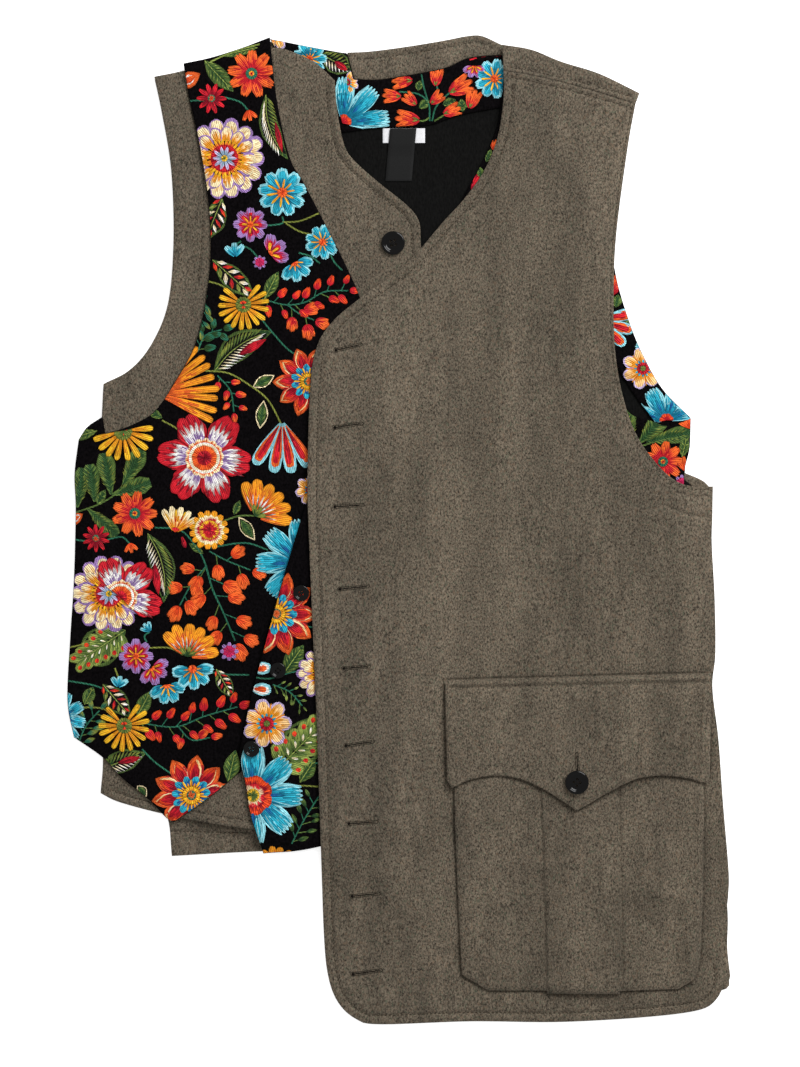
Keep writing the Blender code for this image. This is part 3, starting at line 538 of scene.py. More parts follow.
# Flowers on each panel. Columns: flower, x, y, radius and, where one needs them, turn, spread, rise over
# other motifs.
MOTIFS = {
    "embroidered_right_front": (
        ("fire daisy", -125, 387, 21, 10), ("red star", -159, 366, 13),
        ("grand rosette", -148, 315, 35), ("edged bud", -187, 377, 21, 30, 90),
        ("orange bud", -128, 356, 10, -75, 110), ("aqua bloom", -99, 286, 21, 10),
        ("lilac bloom", -126, 259, 15), ("aqua bud", -139, 232, 12, 95, 120),
        ("lilac bloom", -110, 234, 17, 35, 150), ("lilac bud", -118, 227, 6),
        ("aqua bloom", -65, 244, 15), ("aqua bloom", -89, 227, 17, -60, 160),
        ("yellow daisy", -132, 191, 22, -85, 290), ("gold fan", -206, 116, 53, 11, 84),
        ("six petal bloom", -165, 61, 41, -6), ("sunflower", -77, 126, 30),
        ("hanging tulip", -99, 93, 45, 270, 84), ("yellow daisy", -234, 84, 26, -80, 190),
        ("fire daisy", -224, 14, 20), ("white bud", -190, -2, 22, 75, 110),
        ("oval rosette", -161, 0, 17), ("gold tulip", -122, 12, 31, 50, 140),
        ("aqua wings", -84, -28, 38, 158, 180), ("red star", -257, -7, 12, 20),
        ("orange bud", -228, -11, 9, -80, 110), ("edged bud", -281, 6, 15, 30, 90),
        ("grand rosette", -246, -54, 33), ("six petal bloom", -236, -57, 36, 48, 190, 0.9),
        ("lilac bloom", -223, -107, 15), ("lilac bloom", -210, -117, 15, -50, 190, 0.3),
        ("lilac bud", -144, -103, 8), ("aqua bud", -211, -86, 9, 130, 100),
        ("aqua bud", -238, -133, 10, 80, 130), ("aqua bloom", -197, -131, 17, -80, 170),
        ("gold tulip", -180, -107, 28, 72, 150), ("aqua bloom", -175, -118, 18, -85, 210, 0.3),
        ("yellow daisy", -233, -166, 22, -85, 300), ("sunflower", -176, -225, 34, 10),
        ("aqua wings", -289, -160, 24, 10, 160), ("cream bloom", -75, 34, 13, 90),
        ("red bud", -181, -15, 10, 110, 60), ("red star", -66, 0, 11, 40), ("sunflower", -66, -75, 26),
    ),
    "embroidered_left_front": (
        ("sunflower", -104, -71, 36), ("striped bud", -127, -118, 19, 4, 60),
        ("striped bud", -127, -134, 19, -6, 60), ("cream bloom", -112, -164, 21),
        ("grand rosette", -63, -122, 24), ("aqua leafy", -124, -225, 43),
        ("gold tulip", -104, -290, 22, 90, 130), ("gold tulip", -80, -294, 22, 90, 110),
        ("fire daisy", 224, 58, 18), ("orange bud", 247, 86, 13, 120, 90),
        ("orange bud", 243, 50, 13, 100, 90), ("lilac bud", 240, 40, 7),
        ("orange bud", 80, 322, 10, 70, 90), ("red bud", 62, 288, 14, 65, 60),
        ("red bud", 66, 302, 9, 250, 60),
    ),
    "back_neck_facing": (
        ("aqua wings", -48, 345, 40, 46, 116), ("aqua bloom", 81, 383, 17),
        ("lilac bloom", 64, 394, 11, -90, 170), ("cream bloom", -105, 421, 14, -90, 200),
        ("aqua bloom", -76, 400, 15, 120), ("cream bloom", -44, 380, 10, 0, 180),
        ("poppy bud", 1.5, 368, 16, 178, 60), ("poppy bud", 14.5, 361, 14, 140, 60),
        ("poppy bud", 17, 348, 21, 176, 60), ("poppy bud", 11, 381.5, 18, 182, 60),
        ("poppy bud", 31, 377, 16, 86, 60), ("poppy bud", 27, 362, 14, 40, 60),
        ("poppy bud", 38, 353, 16, 20, 60), ("poppy bud", 43, 371, 22, 30, 60),
        ("poppy bud", 60, 358, 17, 72, 60),
    ),
    "back_armhole_facing": (
        ("hanging tulip", 169, 178, 32, -30, 110), ("aqua wings", 222, 157, 22, 190, 220),
        ("cream bloom", 207, 137, 18, 0, 360, 0.8), ("aqua wings", 227, 93, 30, 95, 190),
        ("poppy bud", 178, 199, 22, 66, 60), ("fire daisy", 247, 66, 14, 150, 160),
    ),
}

# Leaves on each panel. Columns: kind, base x, y, turn, length, width and, for a bent one, bend.
LEAVES = {
    "embroidered_right_front": (
        ("green", -165, 398, -47, 36, 15), ("green", -120, 409, -168, 34, 8),
        ("striped", -113, 369, -71, 58, 17, -6), ("dotted", -150, 281, -112, 38, 22),
        ("dotted", -158, 229, -42, 48, 19), ("green", -114, 196, 63, 26, 11),
        ("striped", -157, 134, 35, 60, 24, 6), ("edged", -124, 121, 29, 21, 10),
        ("edged", -118, 86, 82, 24, 11), ("paddle", -273, 19, 82, 34, 15),
        ("paddle", -258, 24, 98, 32, 15), ("paddle", -244, 30, 100, 36, 16),
        ("paddle", -234, 38, 62, 34, 16), ("paddle", -243, 30, 18, 34, 15),
        ("green", -256, 22, 60, 14, 8), ("paddle", -264, 18, -42, 34, 13),
        ("striped", -213, -3, -77, 60, 22, 6), ("green", -140, 13, 67, 13, 7),
        ("edged", -136, 11, -55, 24, 11), ("green", -166, -20, 144, 15, 6),
        ("scalloped", -232, -85, -146, 50, 34), ("green", -267, -148, 62, 17, 11),
        ("dotted", -251, -131, -50, 36, 19), ("green", -222, -158, 62, 24, 12),
        ("dotted", -155, -118, -60, 28, 14), ("striped", -256, -204, 20, 44, 20),
        ("green", -145, -214, 77, 28, 14), ("edged", -222, -217, -49, 12, 9),
        ("green", -256, 84, -165, 26, 9), ("green", -201, 95, 150, 14, 8),
    ),
    "embroidered_left_front": (
        ("green", -130, -124, 66, 44, 13, 8), ("green", -98, -122, 55, 30, 16),
        ("scalloped", -103, -203, 46, 62, 38), ("green", -84, -214, 57, 24, 13),
        ("paddle", 197, 76, 104, 28, 19), ("paddle", 204, 74, 48, 34, 17),
        ("paddle", 210, 75, 12, 40, 14), ("green", 240, 62, 77, 18, 9), ("green", 70, 296, 100, 13, 8),
        ("green", 74, 312, 70, 12, 6),
    ),
    "back_neck_facing": (
        ("striped", -66, 404, -29, 30, 20), ("green", 16, 373, 77, 9, 7), ("green", 17, 358, 38, 11, 8),
        ("green", 37, 361, 20, 12, 8), ("green", 54, 355, 96, 11, 8), ("green", -28, 383, 15, 16, 6),
        ("green", -3, 386, -20, 10, 6),
    ),
    "back_armhole_facing": (("green", 184, 189, 79, 11, 9), ("green", 190, 168, 60, 12, 8)),
}

# Stems on each panel. Columns: colour, points.
STEMS = {
    "embroidered_right_front": (
        ("teal", ((-190, 361), (-175, 364), (-165, 364))),
        ("teal", ((-148, 367), (-135, 363), (-128, 356))),
        ("light green", ((-160, 397), (-140, 406), (-118, 412))),
        ("olive", ((-99, 261), (-84, 262), (-67, 269))), ("olive", ((-96, 260), (-84, 253), (-71, 250))),
        ("teal", ((-113, 258), (-99, 260), (-99, 266))), ("teal", ((-135, 242), (-126, 238), (-119, 230))),
        ("teal", ((-85, 235), (-75, 232), (-67, 226))), ("olive", ((-168, 212), (-152, 208), (-140, 200))),
        ("teal", ((-134, 245), (-140, 240), (-139, 234))), ("teal", ((-58, 233), (-54, 226), (-48, 220))),
        ("teal", ((-116, 178), (-107, 167), (-94, 153), (-82, 146))),
        ("olive", ((-165, 135), (-145, 133), (-127, 123), (-111, 110), (-99, 88))),
        ("green", ((-277, 14), (-252, 23), (-234, 36), (-218, 54))),
        ("teal", ((-277, -8), (-261, -10))), ("teal", ((-247, -8), (-235, -6), (-228, -12))),
        ("teal", ((-207, 2), (-186, 0), (-173, -13), (-165, -27), (-158, -50), (-149, -70), (-139, -94))),
        ("green", ((-148, 8), (-135, 12), (-120, 12))),
        ("teal", ((-160, -15), (-131, -11), (-111, -17))),
        ("olive", ((-201, 93), (-190, 87), (-182, 80))),
        ("teal", ((-281, -128), (-258, -132), (-244, -138))),
        ("olive", ((-279, -151), (-254, -151), (-239, -158))),
        ("olive", ((-212, -100), (-195, -100), (-183, -106))),
        ("teal", ((-173, -117), (-152, -122), (-127, -123))),
        ("teal", ((-218, -186), (-207, -197), (-193, -207))),
        ("olive", ((-241, -117), (-238, -125))), ("teal", ((-214, -95), (-216, -90), (-211, -86))),
        ("olive", ((-281, -100), (-255, -94), (-240, -88))),
    ),
    "embroidered_left_front": (
        ("teal", ((-131, -123), (-111, -126), (-93, -121), (-79, -119))),
        ("teal", ((-99, -199), (-84, -197), (-67, -198))),
        ("olive", ((-101, -220), (-86, -217), (-65, -218))),
        ("teal", ((-131, -150), (-129, -160))), ("green", ((205, 71), (222, 76), (245, 80))),
        ("teal", ((-86, -84), (-77, -82), (-65, -84))),
    ),
    "back_neck_facing": (
        ("teal", ((26, 347), (25, 362), (16, 370), (0, 372))), ("teal", ((25, 362), (21, 376), (19, 387))),
        ("teal", ((28, 347), (32, 360), (46, 374))), ("green", ((30, 347), (44, 355), (60, 360))),
        ("green", ((26, 350), (20, 347), (8, 349))), ("teal", ((32, 360), (33, 372), (31, 380))),
        ("red", ((60, 399), (66, 401))), ("red", ((70, 402), (76, 403))), ("red", ((80, 403), (86, 403))),
    ),
    "back_armhole_facing": (("green", ((196, 172), (213, 146), (229, 126), (249, 102))),),
}

# Sprays of buds along a stem. Columns: stem, count, reach, size, colour at the base and the tip.
SPRAYS = {
    "embroidered_right_front": (
        (((-116, 196), (-97, 191), (-80, 193), (-63, 202), (-43, 203)), 13, 13, 9, "red", "orange red"),
        (((-95, 191), (-84, 183), (-72, 178)), 4, 12, 12, "red", "orange"),
        (((-154, 131), (-143, 118), (-140, 100)), 7, 9, 8, "red", "orange"),
        (((-223, -163), (-190, -167), (-165, -158), (-137, -150)), 15, 13, 10, "red", "orange red"),
        (((-188, -166), (-176, -178), (-160, -176)), 3, 10, 11, "red", "orange"),
        (((-165, -27), (-158, -51), (-149, -70), (-139, -94)), 9, 20, 14, "orange red", "orange"),
        (((-161, -18), (-146, -26), (-126, -34)), 4, 13, 13, "orange red", "orange"),
        (((-163, -30), (-176, -46), (-186, -64)), 5, 12, 13, "orange red", "orange"),
        (((-171, 151), (-164, 165), (-150, 170)), 8, 9, 9, "dark green", "teal"),
        (((-163, 199), (-168, 185), (-168, 171)), 8, 8, 10, "teal", "olive"),
        (((-273, -184), (-266, -167), (-254, -153)), 10, 10, 10, "teal", "olive"),
    ),
    "embroidered_left_front": (
        (((-91, -266), (-80, -245), (-68, -226)), 12, 12, 9, "dark green", "green"),
        (((-107, -131), (-93, -137), (-82, -149)), 12, 7, 5, "green", "light green"),
    ),
}

# The panels, in the order in which they are laid. Columns: outline, thickness, distance between the points of
# its lattice, finish, how far it lies off what is beneath, what that is.
PANELS = {
    "back_wool": (BACK_WOOL, WOOL, 9, "wool", 0.15, ()),
    "back_lining": (BACK_LINING, LINING, 6, "lining", 0.25, ("back_wool",)),
    "back_neck_band": (NECK_BAND, WOOL, 5, "wool", 0.15, ("back_wool",)),
    "back_neck_facing": (NECK_FACING, FACING, 4, "ground", 0.2, ("back_wool", "back_lining")),
    "back_armhole_facing": (ARMHOLE_FACING, FACING, 4, "ground", 0.2, ("back_wool", "back_lining")),
    "wool_right_front": (WOOL_RIGHT_FRONT, WOOL, 6, "wool", 0.25,
                         ("back_wool", "back_lining", "back_neck_facing")),
    "embroidered_right_front": (EMBROIDERED_RIGHT_FRONT, VELVET, 4, "ground", 0.3, ("wool_right_front",)),
    "embroidered_left_front": (EMBROIDERED_LEFT_FRONT, VELVET, 4.5, "ground", 0.3,
                               ("embroidered_right_front", "wool_right_front", "back_armhole_facing")),
    "wool_left_front": (WOOL_LEFT_FRONT, WOOL, 6, "wool", 0.4,
                        ("embroidered_left_front", "embroidered_right_front", "wool_right_front")),
    "wool_left_yoke": (WOOL_LEFT_YOKE, WOOL, 5, "wool", 0.4,
                       ("back_wool", "back_neck_band", "embroidered_left_front")),
    "pocket_body": (POCKET, WOOL, 5, "wool", 0.8, ("wool_left_front",)),
    "pocket_flap": (FLAP, WOOL, 5, "wool", 0.8, ("pocket_body", "wool_left_front")),
}

# Embroidery, in millimetres.
STEM_LIFT = 0.2  # over the cloth
LEAF_LIFT = 0.25
LEAF_OVER = LEAF_LIFT + 0.17  # what lies on a leaf
FLOWER_LIFT = 0.55
LAYER_LIFT = 0.12
DOME = (0.26, 0.06)  # rise of a patch's middle: at most, and as a share of its width
COLUMN_STEP = 1.3  # between the rows of points across a petal
COLUMNS_MOST = 17
PETAL_FOOT = 0.35  # of its dome, at its base
UNEVEN = (0.35, 0.035)  # of a petal's threads: at most, and as a share of its length
PETAL_TILT = 0.03  # in radians
PETAL_REACH = (0.97, 1.02)
WIDEST = 0.62  # of the way along a petal, where its width is taken
STRAND_SPREAD = 0.3  # of a petal's width, to either side
STRAND_SHORT = 0.25  # how much shorter the outer streaks are
RING_STEPS = (24, 4)  # at least, and for each scallop
RING_NOTCH = 0.1  # depth of the scallops, as a share of the radius
THREAD_PLACES = 400  # how far apart the threads of two patches may start
SHADES = (0.96, 1.2)  # how far a patch may differ in tone
ROUND = 3.5  # the spread, in radians, from which a flower's middle is drawn whole
STRANDS = 5  # streaks on a petal
WAVER = 0.5  # of the threads, sideways
JITTER = 0.26  # how far a stitch's colour strays between the base's and the tip's
TIP_FROM_TO = (0.32, 0.74)  # where along a petal its colour changes
GAP_WAVE = (-1.0, -0.2)  # the part of a thread's wave that is darkened, as painted shade in the groove between threads
PALE = ("cream", "white", "lilac", "pale lilac", "pale aqua", "peach")  # threads whose patches get no painted shade at their edges
STEM_WIDTH = 1.5
STEM_ROUND = (0.28, 0.16)  # rise of its middle: at most, and as a share of its width
STEM_TWIST = 0.45  # of its threads, for each millimetre along it
CORD_STEP = 1.6
CURVE_STEP = 1.5
SINGLE_BUD = 11  # the size up to which a bud on a spray is a single petal
DEEP = 7.0  # stitches that lie deeper than this beneath other cloth are left out
TRIM_IN = 0.4  # of the stitches, inside a panel's edge
TRIM_STEP = 0.7
LEAF_STOPS = (0.03, 0.55, 0.88, 1.0, 0.86, 0.5, 0.03)  # widths from the foot to the tip
PADDLE_STOPS = (0.12, 0.38, 0.62, 0.84, 1.0, 0.94, 0.5)
BLADE_ROWS, BLADE_COLUMNS = 14, 9
BLADE_UNEVEN = 0.05
BLADE_ROUND = (0.08, 0.02)  # rise of each half: at most, and as a share of its width
BLADE_SLANT = 1.1  # how far its stitches run along it for each millimetre out
BLADE_THREAD = 0.75  # how wide its threads are
BAR_RUN = 0.15  # of a leaf's length, that a bar runs along it
BAR_REACH = 0.86  # of the way to the leaf's edge
BAR_FOOT = 0.06  # of the leaf's width, beside its middle
VEINED = 15  # the length from which a leaf has a vein
VEIN_WIDTH = 0.9
# The petals of a scallop on a leaf, as shares of the leaf's width. Columns: from, to, width, shape, colour at
# the base, at the tip, lift.
SCALLOP = (
    (0, 0.5, 0.3, "round", "green", "light green", LEAF_LIFT + 0.09),
    (0.3, 0.44, 0.14, "round", "red", "orange red", LEAF_OVER),
    (0.04, 0.26, 0.09, "lens", "cream", "white", LEAF_OVER),
)

# Buttonholes and buttons, in millimetres.
PURL_PITCH = 0.8
PURL_OUT = 1.3
PURL_LIFT = 0.05
PURL = (1.0, 0.7, 0.5)  # length, width, height of a stitch
SLIT_WIDTH = 0.8
SLIT_LIFT = 0.14
EYELET = 1.2
BUTTON_GAP = 0.35
BUTTON_FOOT = 0.7  # of its radius, on which it rests
BUTTON_FACE = 0.62  # of its thickness, on which its thread lies
BUTTON_THREAD = (1.3, 0.5, 0.4)  # length, width, height of a stitch
THREAD_BOW = 0.25
THREAD_OVER = 0.12  # of the one thread over the other
SHARP = 32  # degrees, from which an edge of a button is sharp
SQUARE = 68.75  # degrees, from which an edge of a strip is rounded

# The stage. Lengths in metres, turns in degrees.
FLOOR_SIZE = 3.0
FLOOR_DROP = 0.0003
KEY_SIZE = 1.6
KEY_AWAY = 3.0
KEY_TURN = 52.0  # from the right towards the neck
KEY_RISE = 42.0
VIEW_CENTRE = (0.85, -2.98)  # in millimetres


def stepped(line, step, last=True):
    """Points one step apart along a line, with its last point or without."""
    line = np.asarray(line, float)
    along = np.concatenate([[0], np.cumsum(np.linalg.norm(np.diff(line, axis=0), axis=1))])
    stops = np.linspace(0, along[-1], max(1, round(along[-1] / step)) + last, endpoint=last)
    return np.column_stack([np.interp(stops, along, line[:, k]) for k in (0, 1)])


def smooth_curve(points, step=EDGE_STEP, last=True):
    """Points one step apart on the Catmull-Rom curve through the given ones."""
    points = np.array(points, float)
    if len(points) > 2:
        knots = np.vstack([2 * points[0] - points[1], points, 2 * points[-1] - points[-2]])
        share = np.linspace(0, 1, CURVE_SAMPLES, endpoint=False)[:, None]
        pieces = []
        for a, b, c, d in zip(knots, knots[1:], knots[2:], knots[3:]):
            bend = 2 * b + (c - a) * share + (2 * a - 5 * b + 4 * c - d) * share**2
            pieces.append(0.5 * (bend + (3 * b - 3 * c + d - a) * share**3))
        points = np.vstack(pieces + [points[-1:]])
    return stepped(points, step, last)


def area_of(outline):
    """The signed area: positive where the outline runs anticlockwise."""
    x, y = outline.T
    return float(np.dot(x, np.roll(y, -1)) - np.dot(y, np.roll(x, -1))) / 2


def inside(points, outline):
    """Which points lie inside an outline."""
    x, y = points.T
    hits = np.zeros(len(points), bool)
    for (x0, y0), (x1, y1) in zip(outline, np.roll(outline, -1, axis=0)):
        if y0 != y1:
            hits ^= ((y0 > y) != (y1 > y)) & (x < (x1 - x0) * (y - y0) / (y1 - y0) + x0)
    return hits


def filled(outline):
    """The cells of the grid inside an outline."""
    cells = np.zeros((len(GRID_Y), len(GRID_X)), bool)
    for (x0, y0), (x1, y1) in zip(outline, np.roll(outline, -1, axis=0)):
        rows = np.nonzero((y0 > GRID_Y) != (y1 > GRID_Y))[0]
        if len(rows):
            cross = (x1 - x0) * (GRID_Y[rows] - y0) / (y1 - y0) + x0
            cells[rows] ^= GRID_X[None] < cross[:, None]
    return cells


def normals_of(line, closed=True):
    """The unit normals to the left of a line."""
    if closed:
        run = np.roll(line, -1, axis=0) - np.roll(line, 1, axis=0)
    else:
        run = np.gradient(line, axis=0)
    run = run / np.maximum(np.linalg.norm(run, axis=1), 1e-9)[:, None]
    return np.column_stack([-run[:, 1], run[:, 0]])


def tree_of(points):
    """A tree that finds the nearest of some points."""
    tree = KDTree(len(points))
    for number, (x, y) in enumerate(points):
        tree.insert((x, y, 0), number)
    tree.balance()
    return tree


def away_from(points, tree):
    """The distance from each point to the nearest one in a tree."""
    return np.array([tree.find((x, y, 0))[2] for x, y in points])


def seen_at(grid, spots):
    """The value of a grid at some places."""
    spots = np.asarray(spots, float)
    column = np.clip((spots[..., 0] - GRID_X[0]) / CELL, 0, len(GRID_X) - 1.001)
    row = np.clip((spots[..., 1] - GRID_Y[0]) / CELL, 0, len(GRID_Y) - 1.001)
    i, j = column.astype(int), row.astype(int)
    s, t = column - i, row - j
    low = grid[j, i] * (1 - s) + grid[j, i + 1] * s
    return low * (1 - t) + (grid[j + 1, i] * (1 - s) + grid[j + 1, i + 1] * s) * t


def widened(grid, fill, slope=0.0):
    """The highest of each cell and the eight around it, which count for less by a slope."""
    padded = np.pad(grid, 1, constant_values=fill)
    rows, columns = grid.shape
    highest = grid
    for down in (0, 1, 2):
        for right in (0, 1, 2):
            far = CELL * math.hypot(down - 1, right - 1)
            highest = np.maximum(highest, padded[down : down + rows, right : right + columns] - slope * far)
    return highest


def resting(top, cells):
    """The underside of cloth over some cells: on what lies there, falling softly off its edges."""
    low = np.where(cells, np.where(top > 0, top + GAP, 0), NO_CLOTH)
    for _ in range(WIDENINGS):
        low = widened(low, NO_CLOTH)
    for _ in range(FALL_STEPS):
        low = widened(low, NO_CLOTH, FALL)
    low = np.maximum(low, 0)
    for _ in range(SOFTENINGS):
        for axis in (0, 1):
            low = (np.roll(low, 1, axis) + 2 * low + np.roll(low, -1, axis)) / 4
    return low


def waves(seed, rise):
    """A grid of soft, irregular waves."""
    chance = np.random.default_rng(seed)
    x, y = np.meshgrid(GRID_X, GRID_Y)
    total = np.zeros(x.shape)
    for _ in range(WAVES):
        turn, phase = chance.uniform(0, math.pi), chance.uniform(0, 2 * math.pi)
        wave = chance.uniform(*WAVE_LENGTHS)
        total += np.sin(2 * math.pi * (x * math.cos(turn) + y * math.sin(turn)) / wave + phase)
    return rise * total / math.sqrt(WAVES)


def fold_lift(folds):
    """A grid of the rise of some soft folds and troughs, which fade towards their ends."""
    x, y = np.meshgrid(GRID_X, GRID_Y)
    lift = np.zeros(x.shape)
    for x0, y0, x1, y1, width, rise in folds:
        run_x, run_y = x1 - x0, y1 - y0
        along = np.clip(((x - x0) * run_x + (y - y0) * run_y) / (run_x**2 + run_y**2), 0, 1)
        away = np.hypot(x - x0 - along * run_x, y - y0 - along * run_y)
        fade = np.sin(math.pi * (FOLD_END + (1 - 2 * FOLD_END) * along))
        lift += rise * np.exp(-((away / width) ** 2)) * fade
    return lift


class Outline:
    """A closed outline, with the name of the edge that each of its points lies on."""

    def __init__(self, edges, start=()):
        names = list(edges)
        firsts = [edges[name][0] for name in names[1:]] + [start[0] if len(start) else edges[names[0]][0]]
        curves = [smooth_curve((*edges[name], first), last=False) for name, first in zip(names, firsts)]
        if len(start):
            curves.insert(0, np.array(start))
            names.insert(0, "start")
        self.points = np.vstack(curves)
        self.names = [name for name, curve in zip(names, curves) for _ in curve]
        self.turn = 1 if area_of(self.points) > 0 else -1
        self.tree = tree_of(stepped(np.vstack([self.points, self.points[:1]]), FINE_STEP))

    def inward(self, distance):
        """The outline moved inward by a distance."""
        return self.points + self.turn * distance * normals_of(self.points)

    def beside(self, distance, *names):
        """A line beside neighbouring edges, at a distance inside them."""
        mine = np.array([name in names for name in self.names])
        starts = np.nonzero(mine & ~np.roll(mine, 1))[0]
        begin = starts[0] if len(starts) else 0
        line = np.roll(self.inward(distance), -begin, axis=0)[np.roll(mine, -begin)]
        return line[away_from(line, self.tree) > BESIDE_ROOM * distance]


class Panel:
    """One panel of cloth: its outline, its underside and the lines that are sewn or pressed in it."""

    def __init__(self, name, outline, thickness, lattice, grain, cells):
        self.name, self.outline, self.thickness, self.lattice = name, outline, thickness, lattice
        self.grain, self.cells = grain, cells
        self.lines = []
        self.low = None

    def press(self, line, depth, width):
        """Adds a groove, or with a negative depth a ridge, along a line."""
        self.lines.append((stepped(line, LINE_STEP), depth, width))

    def spots(self):
        """The places of the panel's points: its outline, rows inside it, rows beside its lines, a lattice."""
        outline = self.outline

        def within(row, room):
            row = row[inside(row, outline.points)]
            return row[away_from(row, outline.tree) > room] if len(row) else row

        rings = [outline.points]
        rings += [within(outline.inward(distance), RING_ROOM * distance) for distance in RINGS]
        for line, _, _ in self.lines:
            sides = normals_of(line, closed=False)
            rings += [row for side in LINE_SIDES if len(row := within(line + side * sides, LINE_ROOM))]
        drawn = tree_of(np.vstack(rings))
        low, high = outline.points.min(axis=0), outline.points.max(axis=0)
        rows = []
        for number, y in enumerate(np.arange(low[1], high[1], self.lattice * math.sqrt(3) / 2)):
            shift = self.lattice / 2 * (number % 2)
            rows += [(x, y) for x in np.arange(low[0] + shift, high[0], self.lattice)]
        rows = np.array(rows)
        rows = rows[inside(rows, outline.points)]
        rows = rows[away_from(rows, drawn) > LATTICE_ROOM * self.lattice]
        return np.vstack(rings + [rows])

    def relief(self, spots):
        """How the top of the cloth stands over its middle thickness: turned edges, grooves and ridges."""
        away = away_from(spots, self.outline.tree)
        rim = np.clip(away / ROUND_EDGE, 0, 1)
        relief = self.thickness * ROUND_TOP * (np.sqrt(1 - (1 - rim) ** 2) - 1)
        relief += SWELL_RISE * np.exp(-(((away - SWELL_AT) / SWELL_WIDTH) ** 2)) * rim
        for line, depth, width in self.lines:
            near = away_from(spots, tree_of(stepped(line, FINE_STEP)))
            relief -= depth * np.exp(-((near / width) ** 2))
        return relief, rim

    def height(self, spots):
        """The top of the cloth at some places, leaving out its turned edges."""
        return seen_at(self.low, spots) + self.thickness

    def surface(self, spots):
        """The top of the cloth at some places, with its turned edges, grooves and ridges."""
        return self.height(spots) + self.relief(spots)[0]

    def build(self):
        """The panel as a closed shell."""
        ring = list(range(len(self.outline.points)))[:: self.outline.turn]
        corners, _, faces, _, _, _ = delaunay_2d_cdt([tuple(p) for p in self.spots()], [], [ring],
                                                     INSIDE_ONLY, SAME_PLACE)
        places = np.array([tuple(corner) for corner in corners])
        relief, rim = self.relief(places)
        low = seen_at(self.low, places)
        high = low + self.thickness + relief
        low = low + self.thickness * ROUND_UNDER * (1 - rim)
        bm = bmesh.new()
        number = bm.verts.layers.int.new("number")
        for index, ((x, y), z) in enumerate(zip(places, low)):
            bm.verts.new((x, y, z))[number] = index
        bm.verts.ensure_lookup_table()
        for face in faces:
            bm.faces.new([bm.verts[n] for n in face])
        raised = bmesh.ops.extrude_face_region(bm, geom=bm.faces[:], use_keep_orig=True)["geom"]
        for corner in raised:
            if isinstance(corner, bmesh.types.BMVert):
                corner.co.z = high[corner[number]]
        bm.verts.layers.int.remove(number)
        bmesh.ops.recalc_face_normals(bm, faces=bm.faces)
        return keep(f"{self.name}_cloth", bm, self.grain)


def mesh_of(name, bm):
    """The mesh of a bmesh, which is given up."""
    mesh = bpy.data.meshes.new(name)
    bm.to_mesh(mesh)
    bm.free()
    return mesh


def keep(name, bm, finish):
    """Turns a bmesh in millimetres into a smooth object with its finish."""
    if bm.calc_volume(signed=True) < 0:
        bmesh.ops.reverse_faces(bm, faces=bm.faces)
    bmesh.ops.scale(bm, vec=(MM, MM, MM), verts=bm.verts)
    return placed(name, mesh_of(name, bm), finish)


def placed(name, mesh, finish):
    """An object of a mesh, at the origin, smooth and with its finish."""
    mesh.materials.append(finish_named(finish))
    mesh.shade_smooth()
    piece = bpy.data.objects.new(name, mesh)
    bpy.context.scene.collection.objects.link(piece)
    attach(piece, "root")
    return piece


@functools.cache
def drape():
    """Every panel, laid one on another in the order in which they are sewn."""
    seam = smooth_curve(SHOULDER_SEAM)
    halves = {"wool_left_front": Outline(WOOL_LEFT_FRONT, start=seam[:-1]),
              "wool_left_yoke": Outline(WOOL_LEFT_YOKE, start=seam[:0:-1])}
    both = np.logical_or.reduce([filled(half.points) for half in halves.values()])
    top = np.zeros(both.shape)
    panels = {}
    for seed, (name, (edges, thickness, lattice, grain, unrest, _)) in enumerate(PANELS.items()):
        outline = halves.get(name) or Outline(edges)
        panel = Panel(name, outline, thickness, lattice, grain,
                      both if name in halves else filled(outline.points))
        if name == "wool_left_yoke":
            panel.low = panels["wool_left_front"].low
        else:
            panel.low = resting(top, panel.cells) + fold_lift(FOLDS.get(name, ()))
            panel.low += unrest + waves(seed, unrest / 2)
            if name == "pocket_body":
                panel.low += bellows(outline)
            panel.low = np.maximum(panel.low, 0)
        above = STITCH_ROOM if grain == "ground" else 0
        top = np.where(panel.cells, np.maximum(top, panel.low + thickness + above), top)
        panels[name] = panel
    for name, line in sewn_lines(panels):
        panels[name].press(line, *GROOVE)
    for name, points, depth, width in CREASES:
        panels[name].press(smooth_curve(points), depth, width)
    for beneath, above in DENTED:
        edge = panels[above].outline.inward(-DENT_OUT)
        panels[beneath].press(np.vstack([edge, edge[:1]]), *DENT)
    return panels


def bellows(outline):
    """The rise of the pocket's front over its rim, and of the box pleat over the front."""
    x, y = np.meshgrid(GRID_X, GRID_Y)
    spots = np.column_stack([x.ravel(), y.ravel()])
    near = filled(outline.inward(-POCKET_MARGIN)).ravel()
    away = np.zeros(len(spots))
    away[near] = away_from(spots[near], outline.tree)
    away[~filled(outline.points).ravel()] = 0
    away = np.where(spots[:, 1] > POCKET_MOUTH, np.maximum(away, POCKET_MARGIN), away)
    rise = POCKET_ROOM * np.clip((away - POCKET_RIM) / POCKET_SLOPE, 0, 1)
    return rise.reshape(x.shape) + PLEAT_RISE * filled(Outline(PLEAT).points)


@functools.cache
def tint(name):
    """A thread's colour in linear light, as the material needs it."""
    shares = [int(THREADS[name][k : k + 2], 16) / 255 for k in (0, 2, 4)]
    return tuple(((s + 0.055) / 1.055) ** 2.4 if s > 0.04 else s / 12.92 for s in shares)


def turned(x, y, turn, along, across):
    """Places given by how far they lie along and across a direction from a point."""
    cos, sin = np.cos(turn), np.sin(turn)
    return np.stack([x + cos * along - sin * across, y + sin * along + cos * across], axis=-1)


def arch(v):
    """A half round over -1 to 1."""
    return np.sqrt(np.clip(1 - v**2, 0, 1))


